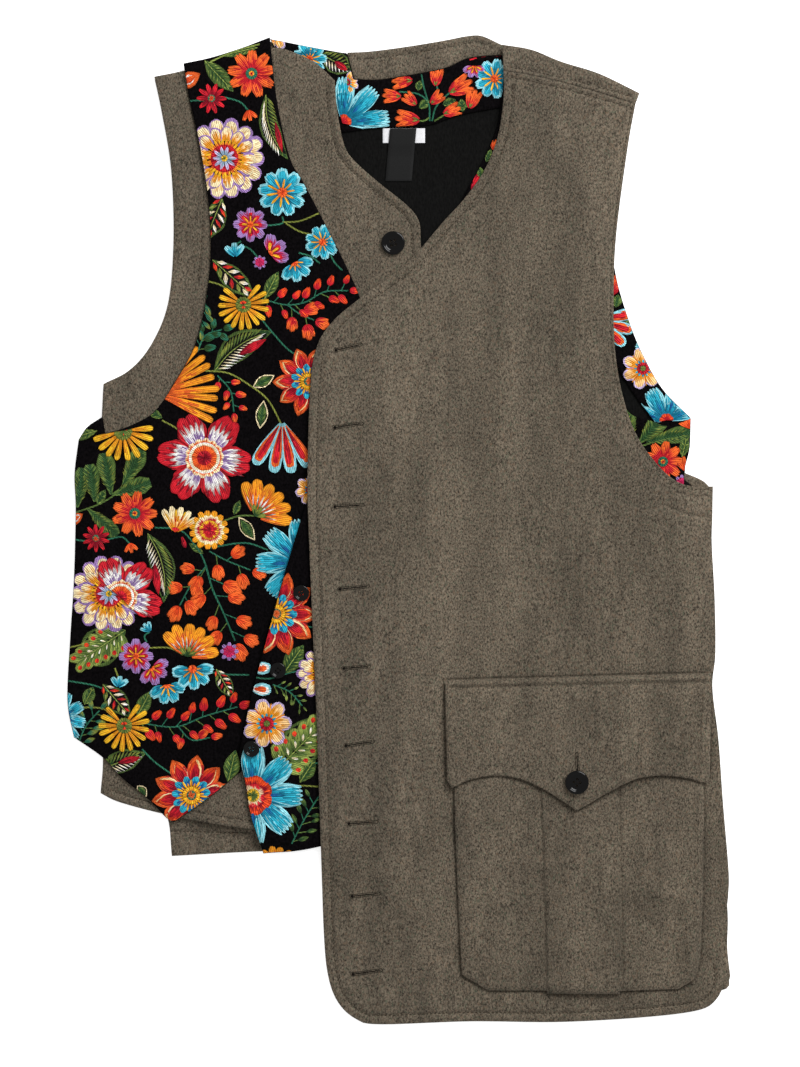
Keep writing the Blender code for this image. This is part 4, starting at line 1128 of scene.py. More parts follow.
def eased(count):
    """Shares from 0 to 1, closer together at both ends, as a column."""
    return (1 - np.cos(np.pi * np.linspace(0, 1, count)))[:, None] / 2


def at_most(limits, size):
    """A share of a size, up to a limit."""
    most, share = limits
    return min(most, share * size)


def stops_at(u, stops):
    """The widths at some shares of the way along evenly spaced stops."""
    return np.interp(u, np.linspace(0, 1, len(stops)), stops)


class Needlework:
    """Patches of satin stitch, gathered into one mesh for a panel."""

    def __init__(self, seed):
        self.spots, self.lifts, self.threads, self.bases, self.tips, self.quads = [], [], [], [], [], []
        self.count = 0
        self.chance = np.random.default_rng(seed)

    def patch(self, spots, lifts, threads, base, tip):
        """Adds a grid of places with their lifts and their threads: across, along, share of the tip."""
        lifts, *threads = np.broadcast_arrays(lifts, *threads)
        threads = np.stack(threads, axis=-1)
        threads[..., :2] += self.chance.uniform(0, THREAD_PLACES, 2)
        rows, columns = lifts.shape
        numbers = self.count + np.arange(rows * columns).reshape(rows, columns)
        corners = (numbers[:-1, :-1], numbers[:-1, 1:], numbers[1:, 1:], numbers[1:, :-1])
        quads = np.stack(corners, axis=-1).reshape(-1, 4)
        x, y = spots[..., 0], spots[..., 1]
        one = (x[1:, 1:] - x[:-1, :-1]) * (y[1:, :-1] - y[:-1, 1:])
        other = (y[1:, 1:] - y[:-1, :-1]) * (x[1:, :-1] - x[:-1, 1:])
        self.quads.append(quads[:, ::-1] if (one - other).sum() < 0 else quads)
        self.spots.append(spots.reshape(-1, 2))
        self.lifts.append(lifts.ravel())
        self.threads.append(threads.reshape(-1, 3))
        shade = self.chance.uniform(*SHADES)
        # Alpha 0 marks a patch's sides and tip, which the silk darkens as painted shade between petals
        rim = np.ones((rows, columns, 1))
        if tip not in PALE:
            rim[-1] = rim[:, 0] = rim[:, -1] = 0
        for colours, name in ((self.bases, base), (self.tips, tip)):
            tone = np.broadcast_to(np.multiply(tint(name), shade), (rows, columns, 3))
            colours.append(np.concatenate([tone, rim], axis=2).reshape(-1, 4))
        self.count += rows * columns

    def petal(self, x, y, turn, start, end, width, shape, base, tip, lift, rows=8):
        """One petal along a direction, from a start to an end, domed, with threads of uneven length."""
        stops, drop, lobes, depth = SHAPES[shape]
        columns = int(np.clip(round(width / COLUMN_STEP), 7 if lobes < 2 else 3 * lobes + 1, COLUMNS_MOST))
        u = eased(rows)
        v = np.linspace(-1, 1, columns)[None]
        notches = 1 - np.abs(np.sin(lobes * np.pi * (v + 1) / 2))
        length = (end - start) * (1 - depth * notches * (lobes > 1)) - drop * width * (1 - arch(v))
        length = length + at_most(UNEVEN, end - start) * self.chance.uniform(-1, 1, columns)
        along = start + u * length
        spots = turned(x, y, turn, along, v * (width / 2 * stops_at(u, stops)))
        foot = PETAL_FOOT + (1 - PETAL_FOOT) * np.sqrt(np.clip(u * 4, 0, 1))
        lifts = lift + at_most(DOME, width) * arch(v) * (np.sqrt(np.clip((1 - u) * 4, 0, 1)) * foot)
        self.patch(spots, lifts, (v * width / 2, along, u), base, tip)

    def ring(self, x, y, turn, spread, start, end, scallops, base, tip, lift):
        """A ring, or a part of one, of stitches that point to its middle."""
        least, each = RING_STEPS
        theta = turn + np.linspace(-spread / 2, spread / 2, max(least, each * scallops) + 1)[None]
        u = np.linspace(0, 1, 5)[:, None]
        notches = 1 - np.abs(np.sin(scallops * (theta - turn) / 2))
        edge = end * (1 - RING_NOTCH * (scallops > 0) * notches)
        radius = start + u * (edge - start)
        spots = np.stack([x + radius * np.cos(theta), y + radius * np.sin(theta)], axis=-1)
        lifts = lift + at_most(DOME, end - start) * arch(2 * u - 1)
        self.patch(spots, lifts, ((theta - turn) * (start + end) / 2, radius, u), base, tip)

    def flower(self, kind, x, y, radius, turn=0, spread=360, rise=0):
        """One flower of the table, whole or a part of it."""
        turn, spread = math.radians(turn), math.radians(spread)
        for number, (form, count, start, end, *layer) in enumerate(FLOWERS[kind]):
            lift = FLOWER_LIFT + rise + LAYER_LIFT * number
            start, end = start * radius, end * radius
            if form == "ring":
                reach = spread if spread < ROUND else 2 * math.pi
                self.ring(x, y, turn, reach, start, end, count, *layer, lift)
                continue
            share, *look = layer
            if form != "fan":
                count = max(1, round(count * spread / (2 * math.pi)))
            spacing = spread / count
            first = turn if spread > 6 else turn - spread / 2 + spacing / 2
            width = share * 2 * math.sin(min(spacing, 1.6) / 2) * (start + WIDEST * (end - start))
            strands = np.linspace(-STRAND_SPREAD, STRAND_SPREAD, STRANDS) if form == "streaks" else (0,)
            for petal in range(count):
                towards = first + petal * spacing + self.chance.uniform(-PETAL_TILT, PETAL_TILT)
                tip_at = end * self.chance.uniform(*PETAL_REACH)
                for strand in strands:
                    reach = 1 - STRAND_SHORT * abs(strand) * self.chance.uniform(0, 2)
                    self.petal(x, y, towards + strand * spacing, start, tip_at * reach, width, *look, lift)

    def cord(self, points, width, colour, lift=STEM_LIFT):
        """A half-round line of stem stitch."""
        line = stepped(smooth_curve(points, CURVE_STEP), CORD_STEP)
        v = np.linspace(-1, 1, 5)[None]
        along = CORD_STEP * np.arange(len(line))[:, None]
        spots = line[:, None] + normals_of(line, closed=False)[:, None] * (v * width / 2)[..., None]
        lifts = lift + at_most(STEM_ROUND, width) * arch(v)
        threads = (along * STEM_TWIST + v * width * 0.5, along, 0.5 + 0.5 * v)
        self.patch(spots, lifts, threads, colour, colour)

    def blade(self, x, y, turn, length, width, bend, base, tip, lift, size=1.0, stops=LEAF_STOPS):
        """A leaf of slanting stitches that meet along its middle."""
        u = eased(BLADE_ROWS)
        v = np.linspace(-1, 1, BLADE_COLUMNS)[None]
        half = size * width / 2 * stops_at(u, stops)
        half = half * (1 + BLADE_UNEVEN * self.chance.uniform(-1, 1, (BLADE_ROWS, 1)))
        along = length * ((1 - size) / 2 + size * u) + 0 * v
        spots = turned(x, y, turn, along, v * half + bend * 4 * u * (1 - u))
        domes = np.sin(np.pi * np.abs(v)) ** 0.7 * np.sqrt(np.clip(4 * u * (1 - u), 0, 1))
        lifts = lift + at_most(BLADE_ROUND, width) * domes
        slant = (along - np.abs(v) * half * BLADE_SLANT) * BLADE_THREAD
        self.patch(spots, lifts, (slant, np.abs(v) * half, np.abs(v)), base, tip)

    def bars(self, x, y, turn, length, width, bend, lift, sides, stops, share, *colours):
        """Slanting bars from the middle of a leaf to its edges."""
        first, last, count = stops
        for side in sides:
            for number, place in enumerate(np.linspace(first, last, count)):
                reach = stops_at(min(1, place + 0.16), LEAF_STOPS) * width / 2 * BAR_REACH
                middle = bend * 4 * place * (1 - place)
                foot = np.array((place * length, side * BAR_FOOT * width + middle))
                run = np.array(((place + BAR_RUN) * length, side * reach + middle)) - foot
                self.petal(*turned(x, y, turn, *foot), turn + math.atan2(run[1], run[0]), 0,
                           np.linalg.norm(run), share * length * (last - first) / count, "lens",
                           *colours[number % len(colours)], lift, rows=5)

    def leaf(self, kind, x, y, turn, length, width, bend=0):
        """One leaf of the table, with its bars and its middle vein."""
        turn = math.radians(turn)
        place = (x, y, turn, length, width, bend)
        if kind == "edged":
            for size, base, tip in ((1.0, "cream", "cream"), (0.86, "black", "black"),
                                    (0.76, "dark green", "green")):
                self.blade(*place, base, tip, LEAF_LIFT + 0.3 * (1 - size), size)
            return
        self.blade(*place, "dark green", "green", LEAF_LIFT,
                   stops=PADDLE_STOPS if kind == "paddle" else LEAF_STOPS)
        if kind == "paddle":
            self.bars(*place, LEAF_LIFT + 0.1, (-1, 1), (0.16, 0.70, 8), 0.5, ("dark green", "olive"))
            return
        count = max(4, round(length / 4.5))
        over = (*place, LEAF_OVER)
        if kind == "green":
            self.bars(*over, (-1, 1), (0.06, 0.76, count), 0.4, ("green", "light green"))
        else:
            self.blade(*place, "black", "black", LEAF_LIFT + 0.09, 0.84)
        if kind == "striped":
            self.bars(*over, (1,), (0.04, 0.76, count + 1), 0.6, ("green", "olive"))
            self.bars(*over, (-1,), (0.08, 0.76, count + 1), 0.46, ("cream", "white"))
            self.petal(*turned(x, y, turn, 0.42 * length, 0), turn - 0.1, 0, 0.46 * length, 0.34 * width,
                       "lens", "deep red", "red", LEAF_OVER + 0.1)
        elif kind == "dotted":
            self.bars(*over, (1,), (0.08, 0.74, 6), 0.66, ("cream", "white"), ("red", "orange red"))
            self.bars(*over, (-1,), (0.04, 0.74, 6), 0.66, ("red", "orange red"), ("olive", "light green"),
                      ("cream", "white"))
        elif kind == "scalloped":
            for share in np.linspace(0.12, 0.95, 6):
                for side in (-1, 1):
                    spot = turned(x, y, turn, share * 0.8 * length, 0)
                    for start, end, wide, *look in SCALLOP:
                        self.petal(*spot, turn + side * (1.25 - 0.9 * share), start * width, end * width,
                                   wide * width, *look)
        if length > VEINED:
            vein = [turned(x, y, turn, u * length, bend * 4 * u * (1 - u)) for u in (0, 0.3, 0.6, 0.86)]
            self.cord(vein, VEIN_WIDTH, "light green", LEAF_OVER)

    def spray(self, stem, count, reach, size, base, tip):
        """Buds, or small leaves, on short stalks along both sides of a stem."""
        self.cord(stem, 1.3, "teal")
        line = stepped(smooth_curve(stem, CURVE_STEP), FINE_STEP)
        for number in range(count):
            at = int((number + 0.7) / (count - 0.3) * (len(line) - 1))
            spot, back = line[min(len(line) - 1, at)], line[max(0, at - 5)]
            last = number == count - 1
            side = 0 if last else (1 if number % 2 else -1) * self.chance.uniform(0.75, 1.15)
            turn = math.atan2(spot[1] - back[1], spot[0] - back[0]) + side
            far = reach * self.chance.uniform(0.35, 0.75) * (0.3 if last else 1)
            foot = turned(*spot, turn, far, 0)
            if not last:
                self.cord((spot, foot), 0.9, "teal" if number % 2 else "green")
            long = size * self.chance.uniform(0.85, 1.12)
            if tip in ("olive", "green", "light green"):
                self.petal(*foot, turn, -0.5, long, 0.48 * long, "lens", base, tip, LEAF_LIFT)
                continue
            sides = ((0.42, 0.86, 0.5), (-0.42, 0.86, 0.5)) if size > SINGLE_BUD else ()
            for lean, tall, wide in (*sides, (0, 1, 0.7)):
                self.petal(*foot, turn + lean, -0.5, tall * long, wide * long, "poppy", base, tip, LEAF_LIFT)
            self.petal(*foot, turn, -0.3, 0.6 * long, 0.16 * long, "lens", "deep red", "red",
                       LEAF_LIFT + 0.1)

    def finish(self, name, panel, cover):
        """The object: trimmed to the panel, laid on it, and low where other cloth covers it."""
        spots, lifts, quads = np.vstack(self.spots), np.concatenate(self.lifts), np.vstack(self.quads)
        rim = panel.outline.inward(TRIM_IN)
        on = inside(spots, rim)
        quads = quads[on[quads].any(axis=1)]
        dense = stepped(np.vstack([rim, rim[:1]]), TRIM_STEP)
        tree = tree_of(dense)
        for number in np.unique(quads[~on[quads]]):
            spots[number] = dense[tree.find((*spots[number], 0))[1]]
        hidden = seen_at(cover, spots)
        lifts = np.where(hidden > 0.01, np.minimum(lifts, STITCH_ROOM), lifts)
        quads = quads[(hidden[quads] < DEEP).any(axis=1)]
        used, quads = np.unique(quads, return_inverse=True)
        points = np.column_stack([spots[used], panel.surface(spots[used]) + lifts[used]]) * MM
        mesh = bpy.data.meshes.new(name)
        mesh.from_pydata(points.tolist(), [], quads.reshape(-1, 4).tolist())
        for title, kind, field, rows in (("threads", "FLOAT_VECTOR", "vector", self.threads),
                                         ("base", "FLOAT_COLOR", "color", self.bases),
                                         ("tip", "FLOAT_COLOR", "color", self.tips)):
            values = np.vstack(rows)[used].astype(np.float32)
            mesh.attributes.new(title, kind, "POINT").data.foreach_set(field, values.ravel())
        return placed(name, mesh, "silk")


def embroider(*panel_names):
    """All the motifs of some panels, from the stems up."""
    panels = drape()
    names = list(panels)
    for panel_name in panel_names:
        work = Needlework(len(panel_name))
        for colour, points in STEMS.get(panel_name, ()):
            work.cord(points, STEM_WIDTH, colour)
        for table, sew in ((SPRAYS, work.spray), (LEAVES, work.leaf), (MOTIFS, work.flower)):
            for motif in table.get(panel_name, ()):
                sew(*motif)
        above = names[names.index(panel_name) + 1 :]
        cover = np.maximum.reduce([depth_in(panels[name].cells) for name in above])
        work.finish(f"{panel_name}_stitches", panels[panel_name], cover)


def depth_in(cells):
    """How deep each cell lies inside some cells, in millimetres, as far as it matters."""
    outside = np.where(cells, 0.0, 1.0)
    depth = 1 - outside
    for _ in range(6):
        outside = widened(outside, 1.0)
        depth += (1 - outside) * CELL
    return depth


def beads(name, rows, size, finish):
    """Small rounded stitches, all in one mesh. Rows: x, y, z, turn."""
    bm = bmesh.new()
    bmesh.ops.create_icosphere(bm, subdivisions=1, radius=1)
    shape = np.array([tuple(v.co) for v in bm.verts]) * np.array(size) / 2
    faces = np.array([[v.index for v in face.verts] for face in bm.faces])
    bm.free()
    rows = np.asarray(rows, float)
    cos, sin = np.cos(rows[:, 3])[:, None], np.sin(rows[:, 3])[:, None]
    x = rows[:, :1] + cos * shape[:, 0] - sin * shape[:, 1]
    y = rows[:, 1:2] + sin * shape[:, 0] + cos * shape[:, 1]
    points = np.stack([x, y, rows[:, 2:3] + shape[:, 2]], axis=-1).reshape(-1, 3) * MM
    faces = (faces[None] + (np.arange(len(rows)) * len(shape))[:, None, None]).reshape(-1, 3)
    mesh = bpy.data.meshes.new(name)
    mesh.from_pydata(points.tolist(), [], faces.tolist())
    return placed(name, mesh, finish)


def joined(bm, one, other):
    """Faces between two rows of corners."""
    for corners in zip(one, one[1:], other[1:], other):
        bm.faces.new(corners)


def sewn_lines(panels):
    """The panel and the line of every row of topstitching."""
    for name, distance, edges in TOPSTITCHED:
        yield name, panels[name].outline.beside(distance, *edges)
    for name, points in SEWN_ALONG:
        yield name, smooth_curve(points)


def topstitch(panel_name):
    """The stitches of every sewn line on a panel, if it has any."""
    rows = []
    for name, line in sewn_lines(drape()):
        if name == panel_name:
            spots = stepped(line, STITCH_PITCH)
            run = np.gradient(spots, axis=0)
            heights = drape()[name].surface(spots) + STITCH[2] * STITCH_UP
            rows += list(np.column_stack([spots, heights, np.arctan2(run[:, 1], run[:, 0])]))
    if rows:
        beads(f"{panel_name}_topstitching", rows, STITCH, "thread")


def make_buttonholes():
    """Every buttonhole: a slit, purl stitches along both its sides and a round of them at each end."""
    rows = []
    bm = bmesh.new()
    for name, *ends in BUTTONHOLES:
        panel = drape()[name]
        start, end = np.array(ends[:2]), np.array(ends[2:])
        long = np.linalg.norm(end - start)
        run = (end - start) / long
        side = np.array((-run[1], run[0]))
        turn = math.atan2(run[1], run[0])
        purls = [(start + run * stop + side * edge * PURL_OUT, turn + math.pi / 2)
                 for stop in np.arange(0, long, PURL_PITCH) for edge in (-1, 1)]
        for corner, heading, out, reach in ((start, math.pi, EYELET + 0.75, 2.1), (end, 0, PURL_OUT, 1.2)):
            for angle in np.linspace(-reach, reach, 3 + round(3 * reach)):
                towards = turn + heading + angle
                purls.append((corner + out * np.array((math.cos(towards), math.sin(towards))), towards))
        rows += [(*spot, float(panel.height(spot)) + PURL_LIFT, towards) for spot, towards in purls]
        # The slit and its round eyelet are one near-black sheet: the dark cloth beneath the cut, with painted
        # shade in it
        stops = np.concatenate([np.linspace(-EYELET, EYELET, 9), np.linspace(EYELET, long, 8)[1:]])
        half = np.sqrt(np.clip(EYELET**2 - stops**2, 0, None))
        half = np.maximum(half, SLIT_WIDTH / 2 * ((stops > 0) & (stops < long)))
        rails = []
        for edge in (-1, 1):
            spots = start + np.outer(stops, run) + edge * np.outer(half, side)
            heights = panel.height(spots) + SLIT_LIFT
            rails.append([bm.verts.new((*spot, z)) for spot, z in zip(spots, heights)])
        joined(bm, *rails)
    bmesh.ops.remove_doubles(bm, verts=bm.verts, dist=SAME_PLACE)
    bmesh.ops.recalc_face_normals(bm, faces=bm.faces)
    for face in bm.faces:
        if face.normal.z < 0:
            face.normal_flip()
    bmesh.ops.scale(bm, vec=(MM, MM, MM), verts=bm.verts)
    beads("buttonhole_stitches", rows, PURL, "dark thread")
    placed("buttonhole_slits", mesh_of("buttonhole_slits", bm), "slit")


def make_button(name, x, y, radius, thickness, beneath, turn):
    """A turned button with a raised rim and four sewing holes, on the panel beneath it."""
    turns = np.linspace(0, 2 * math.pi, 12, endpoint=False)
    rim = turned(x, y, turns, BUTTON_FOOT * radius, 0)
    low = float(drape()[beneath].height(rim).max()) + BUTTON_GAP
    bm = bmesh.new()
    profile = [bm.verts.new((radius * out, 0, low + thickness * up)) for out, up in BUTTON_PROFILE]
    edges = [bm.edges.new(pair) for pair in zip(profile, profile[1:])]
    bmesh.ops.spin(bm, geom=profile + edges, axis=(0, 0, 1), cent=(0, 0, 0), angle=2 * math.pi,
                   steps=BUTTON_SIDES, use_merge=True)
    bmesh.ops.remove_doubles(bm, verts=bm.verts, dist=SAME_PLACE)
    bmesh.ops.recalc_face_normals(bm, faces=bm.faces)
    bmesh.ops.translate(bm, vec=(x, y, 0), verts=bm.verts)
    button = keep(name + "_turned", bm, "button")
    holes, drills = [], []
    for number in range(4):
        angle = math.radians(turn) + math.pi * (number + 0.5) / 2
        holes.append((x + radius * HOLES_OUT * math.cos(angle), y + radius * HOLES_OUT * math.sin(angle)))
        bm = bmesh.new()
        bmesh.ops.create_cone(bm, cap_ends=True, segments=HOLE_SIDES, radius1=radius * HOLE_RADIUS,
                              radius2=radius * HOLE_RADIUS, depth=4 * thickness)
        bmesh.ops.translate(bm, vec=(*holes[-1], low), verts=bm.verts)
        drills.append(keep(f"{name}_drill_{number}", bm, "button"))
        cut = button.modifiers.new(f"hole {number}", "BOOLEAN")
        cut.operation, cut.object = "DIFFERENCE", drills[-1]
    evaluated = button.evaluated_get(bpy.context.evaluated_depsgraph_get())
    mesh = bpy.data.meshes.new_from_object(evaluated)
    for tool in (button, *drills):
        bpy.data.objects.remove(tool, do_unlink=True)
    mesh.materials.clear()
    piece = placed(name + "_turned", mesh, "button")
    piece.data.set_sharp_from_angle(angle=math.radians(SHARP))
    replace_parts(piece, name)
    return holes, low + BUTTON_FACE * thickness


def sew_buttons(sewn):
    """Crossed threads through the holes of every button."""
    rows = []
    for holes, high in sewn:
        for first, second in ((0, 2), (1, 3)):
            start, end = np.array(holes[first]), np.array(holes[second])
            run = end - start
            for share in np.linspace(0.06, 0.94, 7):
                bow = THREAD_BOW * math.sin(math.pi * share) + THREAD_OVER * first
                rows.append((*(start + share * run), high + bow, math.atan2(run[1], run[0])))
    beads("button_threads", rows, BUTTON_THREAD, "button thread")


def make_strip(name, x_range, fall, finish, columns=8, lean=0):
    """A woven strip that hangs down from the neck over a row of heights, in the place of its node."""
    stations = np.array(fall, float)
    floor = float(drape()["back_lining"].height(STRIP_OVER))
    ys = np.linspace(stations[0, 0], stations[-1, 0], STRIP_ROWS)
    heights = np.interp(-ys, -stations[:, 0], stations[:, 1])
    bm = bmesh.new()
    rows = [[bm.verts.new((x - lean * (ys[0] - y), y, floor + height))
             for x in np.linspace(*x_range, columns + 1)] for y, height in zip(ys, heights)]
    for upper, lower in zip(rows, rows[1:]):
        joined(bm, lower, upper)
    raised = bmesh.ops.extrude_face_region(bm, geom=bm.faces[:], use_keep_orig=True)["geom"]
    tops = [v for v in raised if isinstance(v, bmesh.types.BMVert)]
    bmesh.ops.translate(bm, vec=(0, 0, STRIP), verts=tops)
    bmesh.ops.recalc_face_normals(bm, faces=bm.faces)
    rim = [edge for edge in bm.edges if edge.calc_face_angle(0) > math.radians(SQUARE)]
    bmesh.ops.bevel(bm, geom=rim, offset=STRIP_ROUND, segments=1, profile=0.5, affect="EDGES", material=-1)
    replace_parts(keep(f"{name}_woven", bm, finish), name)


def scaled(colour, share):
    """A colour made darker or lighter, with its alpha."""
    return tuple(min(1, channel * share) for channel in colour[:3]) + (1,)


class Finish:
    """A material, with short words for the nodes that its look is made of."""

    def __init__(self, name):
        self.material = bpy.data.materials.new(name)
        self.material.use_nodes = True
        self.tree = self.material.node_tree
        self.shader = self.tree.nodes["Principled BSDF"]
        self.place = self.node("ShaderNodeTexCoord").outputs["Object"]

    def fill(self, node, values):
        """Gives a node its inputs, by name or number. A socket is linked."""
        for key, value in values.items():
            if isinstance(value, bpy.types.NodeSocket):
                self.tree.links.new(value, node.inputs[key])
            else:
                node.inputs[key].default_value = value
        return node

    def node(self, kind, values=(), **settings):
        """A new node. Values without names go to its first inputs."""
        node = self.tree.nodes.new(kind)
        for key, value in settings.items():
            setattr(node, key, value)
        return self.fill(node, values if isinstance(values, dict) else dict(enumerate(values)))

    def sums(self, operation, first, second=0.0):
        """The result of two numbers."""
        return self.node("ShaderNodeMath", (first, second), operation=operation).outputs[0]

    def times(self, first, second):
        """The product of two numbers."""
        return self.sums("MULTIPLY", first, second)

    def blended(self, share, first, second, how="MIX"):
        """Two colours blended by a share."""
        return self.node("ShaderNodeMix", {0: share, 6: first, 7: second}, data_type="RGBA", blend_type=how,
                         clamp_factor=True).outputs[2]

    def toned(self, colour, *tones):
        """A colour multiplied by one tone, or by one for each channel."""
        tones = tones if len(tones) == 3 else tones * 3
        tone = self.node("ShaderNodeCombineColor", tones).outputs[0]
        return self.blended(1.0, colour, tone, "MULTIPLY")

    def spread(self, value, low, high, first=0, second=1):
        """A value carried from one range to another."""
        return self.node("ShaderNodeMapRange", (value, low, high, first, second), clamp=True).outputs[0]

    def noise(self, scale, detail, roughness, stretch=None):
        """Noise at an object's own size: features of one part in scale of a metre."""
        place = self.place
        if stretch:
            place = self.node("ShaderNodeMapping", {0: place, 3: stretch}).outputs[0]
        return self.node("ShaderNodeTexNoise", {"Vector": place, "Scale": scale, "Detail": detail,
                                                "Roughness": roughness}).outputs[0]

    def carried(self, name, output="Color"):
        """What a mesh carries at its points under a name."""
        return self.node("ShaderNodeAttribute", attribute_name=name).outputs[output]

    def surface(self, colour, height, strength, distance, roughness, shine, **others):
        """Gives the shader its colour, its bump and its numbers."""
        bump = self.node("ShaderNodeBump", {"Strength": strength, "Distance": distance, "Height": height})
        self.fill(self.shader, {"Base Color": colour, "Normal": bump.outputs[0], "Roughness": roughness,
                                "Specular IOR Level": shine, **others})

    def wool(self, look):
        """Felted wool of many mixed fibres: a fine fleck, slow changes and a few coloured hairs."""
        coarse = self.noise(look.fleck_scale, 3, 0.62, (1, 0.6, 1))
        fine = self.noise(2.2 * look.fleck_scale, 2, 0.6, (1, 0.55, 1))
        fleck = self.sums("ADD", self.times(coarse, 0.6), self.times(fine, 0.4))
        share = self.spread(fleck, 0.5 - look.fleck_range, 0.5 + look.fleck_range)
        mixed = self.blended(share, scaled(look.wool, 1 - 0.8 * look.fleck),
                             scaled(look.wool, 1 + 1.85 * look.fleck))
        # Hairs: how many in a metre, their colour, the noise above which they show.
        for scale, colour, low in ((610, look.hair_warm, 0.58), (690, look.hair_cool, 0.59)):
            hairs = self.spread(self.noise(scale, 2, 0.5, (1, 0.6, 1.3)), low, low + 0.08, 0, 0.6)
            mixed = self.blended(hairs, mixed, scaled(colour, 1))
        # Slow changes: how many in a metre, how strong, how far drawn out along the cloth.
        for scale, share, stretch in ((34, 1.3, (1, 0.22, 1)), (120, 0.6, (1, 0.6, 1))):
            drift = self.noise(scale, 3, 0.6, stretch)
            share *= look.blotch
            mixed = self.toned(mixed, *(self.spread(drift, 0.34, 0.66, 1 - share * bias, 1 + share * bias)
                                        for bias in (1.0, 0.97, 0.95)))
        self.surface(mixed, fleck, 0.5, 0.0005, 0.95, 0.1, **{"Sheen Weight": 0.06, "Sheen Roughness": 0.5})

    def silk(self, look):
        """Embroidery thread: each thread has its own tone and changes colour at its own length, with painted
        shade in the grooves between threads and at the edges of petals.
        """
        parts = self.node("ShaderNodeSeparateXYZ", (self.carried("threads", "Vector"),))
        across, along, share = parts.outputs
        waver = self.times(self.noise(420, 2, 0.5), WAVER)
        bent = self.sums("ADD", across, waver)
        turns = self.sums("DIVIDE", bent, look.thread_width)
        strand = self.sums("FLOOR", turns)
        offset = self.node("ShaderNodeTexWhiteNoise", {"W": strand}, noise_dimensions="1D").outputs[0]
        length = self.sums("ADD", self.sums("DIVIDE", along, look.stitch_length), offset)
        key = self.node("ShaderNodeCombineXYZ", (strand, self.sums("FLOOR", length))).outputs[0]
        chance = self.node("ShaderNodeTexWhiteNoise", {"Vector": key}, noise_dimensions="2D").outputs[0]
        jitter = self.spread(chance, 0, 1, -JITTER, JITTER)
        share = self.spread(self.sums("ADD", share, jitter), *TIP_FROM_TO)
        mixed = self.blended(share, self.carried("base"), self.carried("tip"))
        mixed = self.toned(mixed, self.spread(chance, 0, 1, 1 - look.strand_contrast,
                                              1 + look.strand_contrast))
        wave = self.sums("SINE", self.times(turns, 2 * math.pi))
        # Painted shade in the grooves between threads, on the wave that also makes their bump
        gap_shade = self.spread(wave, *GAP_WAVE, look.thread_gap_shade)
        # Painted shade at the edges of each petal, where it meets the next
        rim = self.spread(self.carried("base", "Alpha"), 0, 1, look.petal_edge_shade)
        mixed = self.toned(mixed, self.times(gap_shade, rim))
        bow = self.sums("SINE", self.times(self.sums("FRACT", length), math.pi))
        self.surface(mixed, self.sums("ADD", wave, bow), 0.9, 0.0003, 0.55, 0.12)

    def plain(self, colour, contrast, scale, stretch, depth, roughness, shine):
        """A plain woven or spun stuff: one colour with a grain, and a bump of the same grain."""
        grain = self.noise(scale, 3, 0.6, stretch)
        share = self.spread(grain, 0.32, 0.68)
        mixed = self.blended(share, scaled(colour, 1 - contrast), scaled(colour, 1 + contrast))
        rough = self.spread(grain, 0.3, 0.7, roughness - 0.06, roughness + 0.06)
        self.surface(mixed, grain, 0.5, depth, rough, shine)

    def ribbed(self, colour):
        """A woven ribbon: fine ribs across it over a soft grain."""
        ribs = self.node("ShaderNodeTexWave", {"Vector": self.place, "Scale": 420, "Distortion": 0.6,
                                               "Detail": 1.0}, bands_direction="Y").outputs[1]
        both = self.sums("ADD", ribs, self.noise(900, 2, 0.5, (1, 0.5, 1)))
        share = self.spread(both, 0.4, 1.6)
        mixed = self.blended(share, scaled(colour, 0.8), scaled(colour, 1.15))
        self.surface(mixed, both, 0.5, 0.00015, 0.62, 0.1)


@functools.cache
def finish_named(name):
    """The material of that name, made the first time that it is asked for."""
    look = bpy.context.scene.waistcoat
    finish = Finish(name)
    plain = {  # colour, contrast, scale, stretch, depth, roughness, shine
        # The topstitch colour is the thread's own, darkened further as painted shade of the groove it sinks
        # into
        "thread": (look.topstitch, 0.25, 900, (0.6, 1, 1), 0.0002, 0.8, 0.1),
        "dark thread": (look.buttonhole, 0.4, 900, (0.6, 1, 1), 0.0002, 0.75, 0.1),
        "slit": (look.slit, 0.3, 700, None, 0.0001, 0.9, 0.02),
        "ground": (look.velvet, 0.6, 620, (1, 0.7, 1), 0.0005, 0.95, 0.02),
        "lining": (look.lining, 0.45, 820, (1, 0.35, 1), 0.0003, 0.7, 0.03),
        "button": (look.button, 0.2, 130, None, 0.00003, 0.3, 0.0),
        "button thread": (look.button_thread, 0.3, 900, None, 0.0002, 0.7, 0.1),
        "floor": (look.floor, 0.01, 40, None, 0.00002, 0.8, 0.1),
    }
    if name in ("label", "tab"):
        finish.ribbed(getattr(look, name))
    elif name in plain:
        finish.plain(*plain[name])
    else:
        getattr(finish, name)(look)
    if name == "button":
        finish.fill(finish.shader, {"Coat Weight": 0.42, "Coat Roughness": 0.04})
    if name == "floor":
        finish.fill(finish.shader, {"Emission Color": (1, 1, 1, 1), "Emission Strength": look.floor_glow})
    return finish.material


def colour(name, description, default):
    """A colour setting."""
    return FloatVectorProperty(name=name, description=description, default=default, subtype="COLOR", size=3,
                               min=0, max=1)


def number(name, description, default, least=0, **others):
    """A setting that is a number."""
    return FloatProperty(name=name, description=description, default=default, min=least, **others)


def share(name, description, default):
    """A setting that is a share from 0 to 1."""
    return number(name, description, default, max=1, subtype="FACTOR")


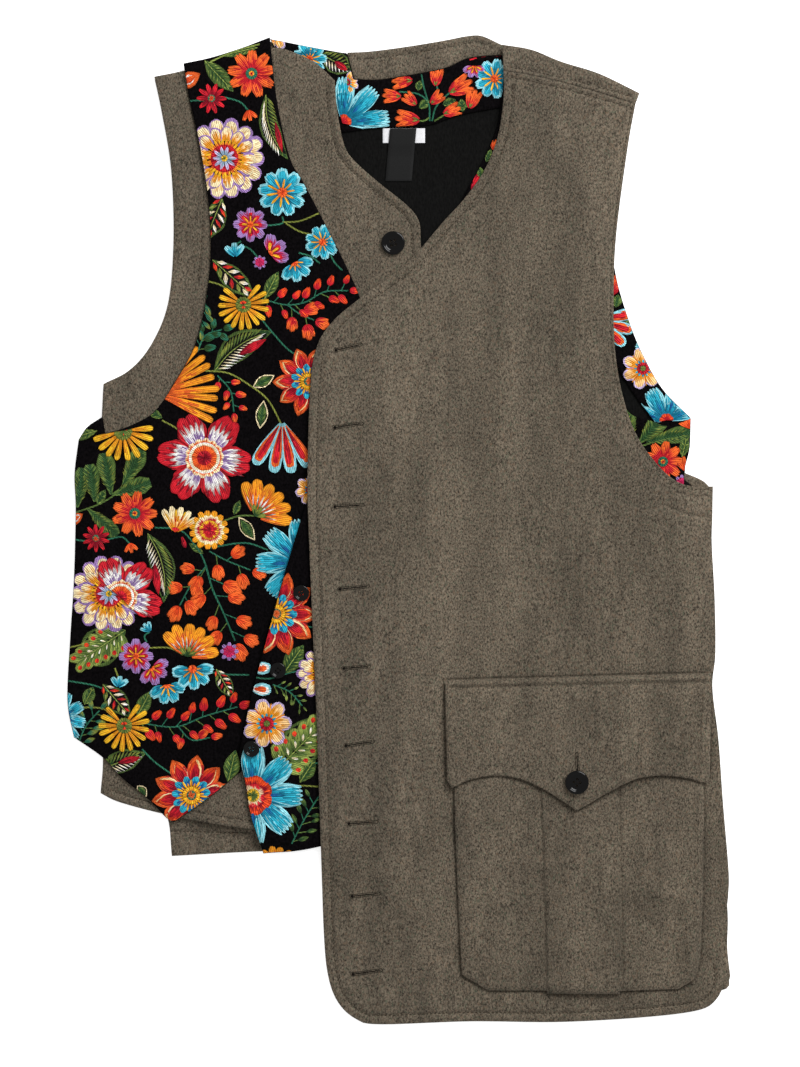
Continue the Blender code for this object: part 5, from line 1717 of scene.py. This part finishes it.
class WaistcoatSettings(bpy.types.PropertyGroup):
    """The waistcoat's colours, the grain of its cloth and the light."""

    wool: colour("Wool", "Middle colour of the wool", (0.0688, 0.0560, 0.0410))
    hair_warm: colour("Warm hairs", "Colour of the warm hairs in the wool", (0.138, 0.094, 0.062))
    hair_cool: colour("Cool hairs", "Colour of the cool hairs in the wool", (0.072, 0.086, 0.056))
    # Darker than the thread itself: it also paints the shade of the groove the stitches sink into
    topstitch: colour("Topstitching", "Colour of the topstitching", (0.046, 0.036, 0.024))
    buttonhole: colour("Buttonholes", "Colour of the buttonhole stitches", (0.026, 0.021, 0.014))
    # Near-black: the dark cloth beneath the cut, with painted shade in the slit
    slit: colour("Slits", "Colour in the buttonholes' slits", (0.006, 0.005, 0.004))
    velvet: colour("Ground", "Colour of the cloth beneath the embroidery", (0.0030, 0.0024, 0.0028))
    lining: colour("Lining", "Colour of the lining", (0.0045, 0.0044, 0.0042))
    label: colour("Label", "Colour of the label", (0.010, 0.010, 0.010))
    tab: colour("Tab", "Colour of the tab beside the label", (0.72, 0.72, 0.74))
    button: colour("Buttons", "Colour of the buttons", (0.0012, 0.0010, 0.0010))
    button_thread: colour("Button thread", "Colour of the thread in the buttons", (0.012, 0.010, 0.009))
    floor: colour("Floor", "Colour of the surface beneath", (0.92, 0.92, 0.92))
    fleck: share("Fleck", "How far the fibres differ in tone", 0.9)
    fleck_scale: number("Fleck scale", "Flecks of wool in a metre", 780, 1)
    fleck_range: number("Fleck range", "Range of the noise that the fleck spans", 0.112, 0.01, max=0.5)
    blotch: share("Blotches", "How far the wool's tone drifts", 0.15)
    thread_width: number("Thread width", "Width of an embroidery thread, in mm", 1.6, 0.2)
    stitch_length: number("Stitch length", "Length of an embroidery stitch, in mm", 5.0, 0.5)
    strand_contrast: share("Thread contrast", "How far threads differ in tone", 0.26)
    # Painted shade in the grooves between threads
    thread_gap_shade: share("Thread gaps", "Tone between two threads", 0.6)
    # Painted shade at the edges of petals
    petal_edge_shade: share("Rims", "Tone of a petal's edge", 0.5)
    floor_glow: number("Floor glow", "Light that the surface beneath gives off", 0.65)
    camera_height: number("Camera height", "How high the camera hangs", 3.2, 0.5, unit="LENGTH")
    view_height: number("View height", "Length of the surface that is in view", 0.907, 0.1, unit="LENGTH")
    key_power: number("Key light", "Power of the key light", 90.0, unit="POWER")
    fill: number("Fill light", "Strength of the light from all around", 0.55)


def lay(*names):
    """Builds some panels, each in the place of its node."""
    for name in names:
        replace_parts(drape()[name].build(), name)


class LayBack(bpy.types.Operator):
    """Lay the wool back, its lining and the band at the back of the neck"""

    bl_idname = "waistcoat.lay_back"
    bl_label = "Back"

    def execute(self, context):
        lay("back_wool", "back_lining", "back_neck_band")
        return {"FINISHED"}


class LayFacings(bpy.types.Operator):
    """Lay the embroidered facings inside the neck and the armhole"""

    bl_idname = "waistcoat.lay_facings"
    bl_label = "Facings"

    def execute(self, context):
        lay("back_neck_facing", "back_armhole_facing")
        return {"FINISHED"}


class HangLabel(bpy.types.Operator):
    """Hang the plain label and the tab behind it from the neck facing"""

    bl_idname = "waistcoat.hang_label"
    bl_label = "Label"

    def execute(self, context):
        make_strip("size_tab", SIZE_TAB_X, SIZE_TAB_FALL, "tab", columns=14)
        make_strip("label", LABEL_X, LABEL_FALL, "label", lean=LABEL_LEAN)
        return {"FINISHED"}


class LayRightFront(bpy.types.Operator):
    """Lay the wool right front"""

    bl_idname = "waistcoat.lay_right_front"
    bl_label = "Wool right front"

    def execute(self, context):
        lay("wool_right_front")
        return {"FINISHED"}


class LayEmbroideredFronts(bpy.types.Operator):
    """Lay both fronts of the short embroidered waistcoat"""

    bl_idname = "waistcoat.lay_embroidered_fronts"
    bl_label = "Embroidered fronts"

    def execute(self, context):
        lay("embroidered_right_front", "embroidered_left_front")
        return {"FINISHED"}


class LayLongFront(bpy.types.Operator):
    """Lay the long wool front and its shoulder yoke"""

    bl_idname = "waistcoat.lay_long_front"
    bl_label = "Long front"

    def execute(self, context):
        lay("wool_left_front", "wool_left_yoke")
        return {"FINISHED"}


class LayPocket(bpy.types.Operator):
    """Lay the bellows pocket with its box pleat, and its scalloped flap"""

    bl_idname = "waistcoat.lay_pocket"
    bl_label = "Pocket"

    def execute(self, context):
        lay("pocket_body", "pocket_flap")
        return {"FINISHED"}


class Topstitch(bpy.types.Operator):
    """Sew every row of topstitching"""

    bl_idname = "waistcoat.topstitch"
    bl_label = "Topstitching"

    def execute(self, context):
        for name in drape():
            topstitch(name)
        return {"FINISHED"}


class SewButtonholes(bpy.types.Operator):
    """Cut the buttonholes and work their edges"""

    bl_idname = "waistcoat.sew_buttonholes"
    bl_label = "Buttonholes"

    def execute(self, context):
        make_buttonholes()
        return {"FINISHED"}


class SewButtons(bpy.types.Operator):
    """Turn every button, bore its holes and sew it on"""

    bl_idname = "waistcoat.sew_buttons"
    bl_label = "Buttons"

    def execute(self, context):
        sew_buttons([make_button(*button) for button in BUTTONS])
        return {"FINISHED"}


class EmbroiderFronts(bpy.types.Operator):
    """Embroider flowers, leaves and stems on both short fronts"""

    bl_idname = "waistcoat.embroider_fronts"
    bl_label = "Embroidery of the fronts"

    def execute(self, context):
        embroider("embroidered_right_front", "embroidered_left_front")
        return {"FINISHED"}


class EmbroiderFacings(bpy.types.Operator):
    """Embroider flowers, leaves and stems on the facings"""

    bl_idname = "waistcoat.embroider_facings"
    bl_label = "Embroidery of the facings"

    def execute(self, context):
        embroider("back_neck_facing", "back_armhole_facing")
        return {"FINISHED"}


def cut_of(outline):
    """The width and length of the smallest rectangle that holds an outline."""
    sizes = []
    for turn in np.radians(np.arange(0, 90, 3)):
        cos, sin = math.cos(turn), math.sin(turn)
        sizes.append(np.ptp(outline @ np.array(((cos, -sin), (sin, cos))), axis=0))
    return tuple(sorted(float(side) for side in min(sizes, key=np.prod)))


class DeclareCloth(bpy.types.Operator):
    """Work out the flat size of every sheet of cloth, its area and what lies on it, without keeping them"""

    bl_idname = "waistcoat.declare_cloth"
    bl_label = "Flat sizes"

    def execute(self, context):
        for name, (*_, rests_on) in PANELS.items():
            outline = drape()[name].outline.points
            width, length = cut_of(outline)
            parts = [f"{name}_stitches", f"{name}_topstitching"]
            if name == "wool_left_front":
                parts += ["buttonhole_stitches", "buttonhole_slits"]
            list(rests_on)
            abs(area_of(outline)) * MM**2
        return {"FINISHED"}


def staged(name, data, place=(0, 0, 0), turn=(0, 0, 0)):
    """An object of the stage."""
    thing = bpy.data.objects.new(name, data)
    thing.location, thing.rotation_euler = place, turn
    bpy.context.scene.collection.objects.link(thing)
    return thing


class SetStage(bpy.types.Operator):
    """Set the white surface, the lights and the camera straight above"""

    bl_idname = "waistcoat.set_stage"
    bl_label = "Stage"

    def execute(self, context):
        look, scene = context.scene.waistcoat, context.scene
        bm = bmesh.new()
        bmesh.ops.create_grid(bm, x_segments=2, y_segments=2, size=FLOOR_SIZE)
        mesh = mesh_of("floor", bm)
        mesh.materials.append(finish_named("floor"))
        staged("floor", mesh, (0, 0, -FLOOR_DROP))
        light = bpy.data.lights.new("key", "AREA")
        light.shape, light.size, light.energy = "SQUARE", KEY_SIZE, look.key_power
        turn, rise = math.radians(KEY_TURN), math.radians(KEY_RISE)
        towards = (math.cos(rise) * math.cos(turn), math.cos(rise) * math.sin(turn), math.sin(rise))
        staged("key", light, [KEY_AWAY * part for part in towards],
               (math.pi / 2 - rise, 0, turn + math.pi / 2))
        scene.world = bpy.data.worlds.new("soft light")
        scene.world.use_nodes = True
        background = scene.world.node_tree.nodes["Background"]
        background.inputs["Color"].default_value = (1, 1, 1, 1)
        background.inputs["Strength"].default_value = look.fill
        lens = bpy.data.cameras.new("camera")
        lens.lens = lens.sensor_width * look.camera_height / look.view_height
        lens.clip_end = 20
        scene.camera = staged("camera", lens, (VIEW_CENTRE[0] * MM, VIEW_CENTRE[1] * MM, look.camera_height))
        scene.view_settings.view_transform = "Standard"
        scene.view_settings.look = "None"
        return {"FINISHED"}


STEPS = (LayBack, LayFacings, HangLabel, LayRightFront, LayEmbroideredFronts, LayLongFront, LayPocket,
         Topstitch, SewButtonholes, SewButtons, EmbroiderFronts, EmbroiderFacings, DeclareCloth, SetStage)


class WaistcoatPanel(bpy.types.Panel):
    """The waistcoat's settings and steps"""

    bl_idname = "VIEW3D_PT_waistcoat"
    bl_label = "Waistcoat"
    bl_space_type = "VIEW_3D"
    bl_region_type = "UI"
    bl_category = "Waistcoat"

    def draw(self, context):
        look = context.scene.waistcoat
        for name in look.__annotations__:
            self.layout.prop(look, name)
        for step in STEPS:
            self.layout.operator(step.bl_idname)


def register():
    """Adds the settings, the steps and the panel to Blender."""
    for kind in (WaistcoatSettings, *STEPS, WaistcoatPanel):
        bpy.utils.register_class(kind)
    bpy.types.Scene.waistcoat = PointerProperty(type=WaistcoatSettings)


def unregister():
    """Takes them out again."""
    del bpy.types.Scene.waistcoat
    for kind in reversed((WaistcoatSettings, *STEPS, WaistcoatPanel)):
        bpy.utils.unregister_class(kind)


def main():
    """Builds the waistcoat and its stage."""
    register()
    for step in STEPS:
        getattr(bpy.ops.waistcoat, step.bl_idname.split(".")[1])()


if __name__ == "__main__":
    main()
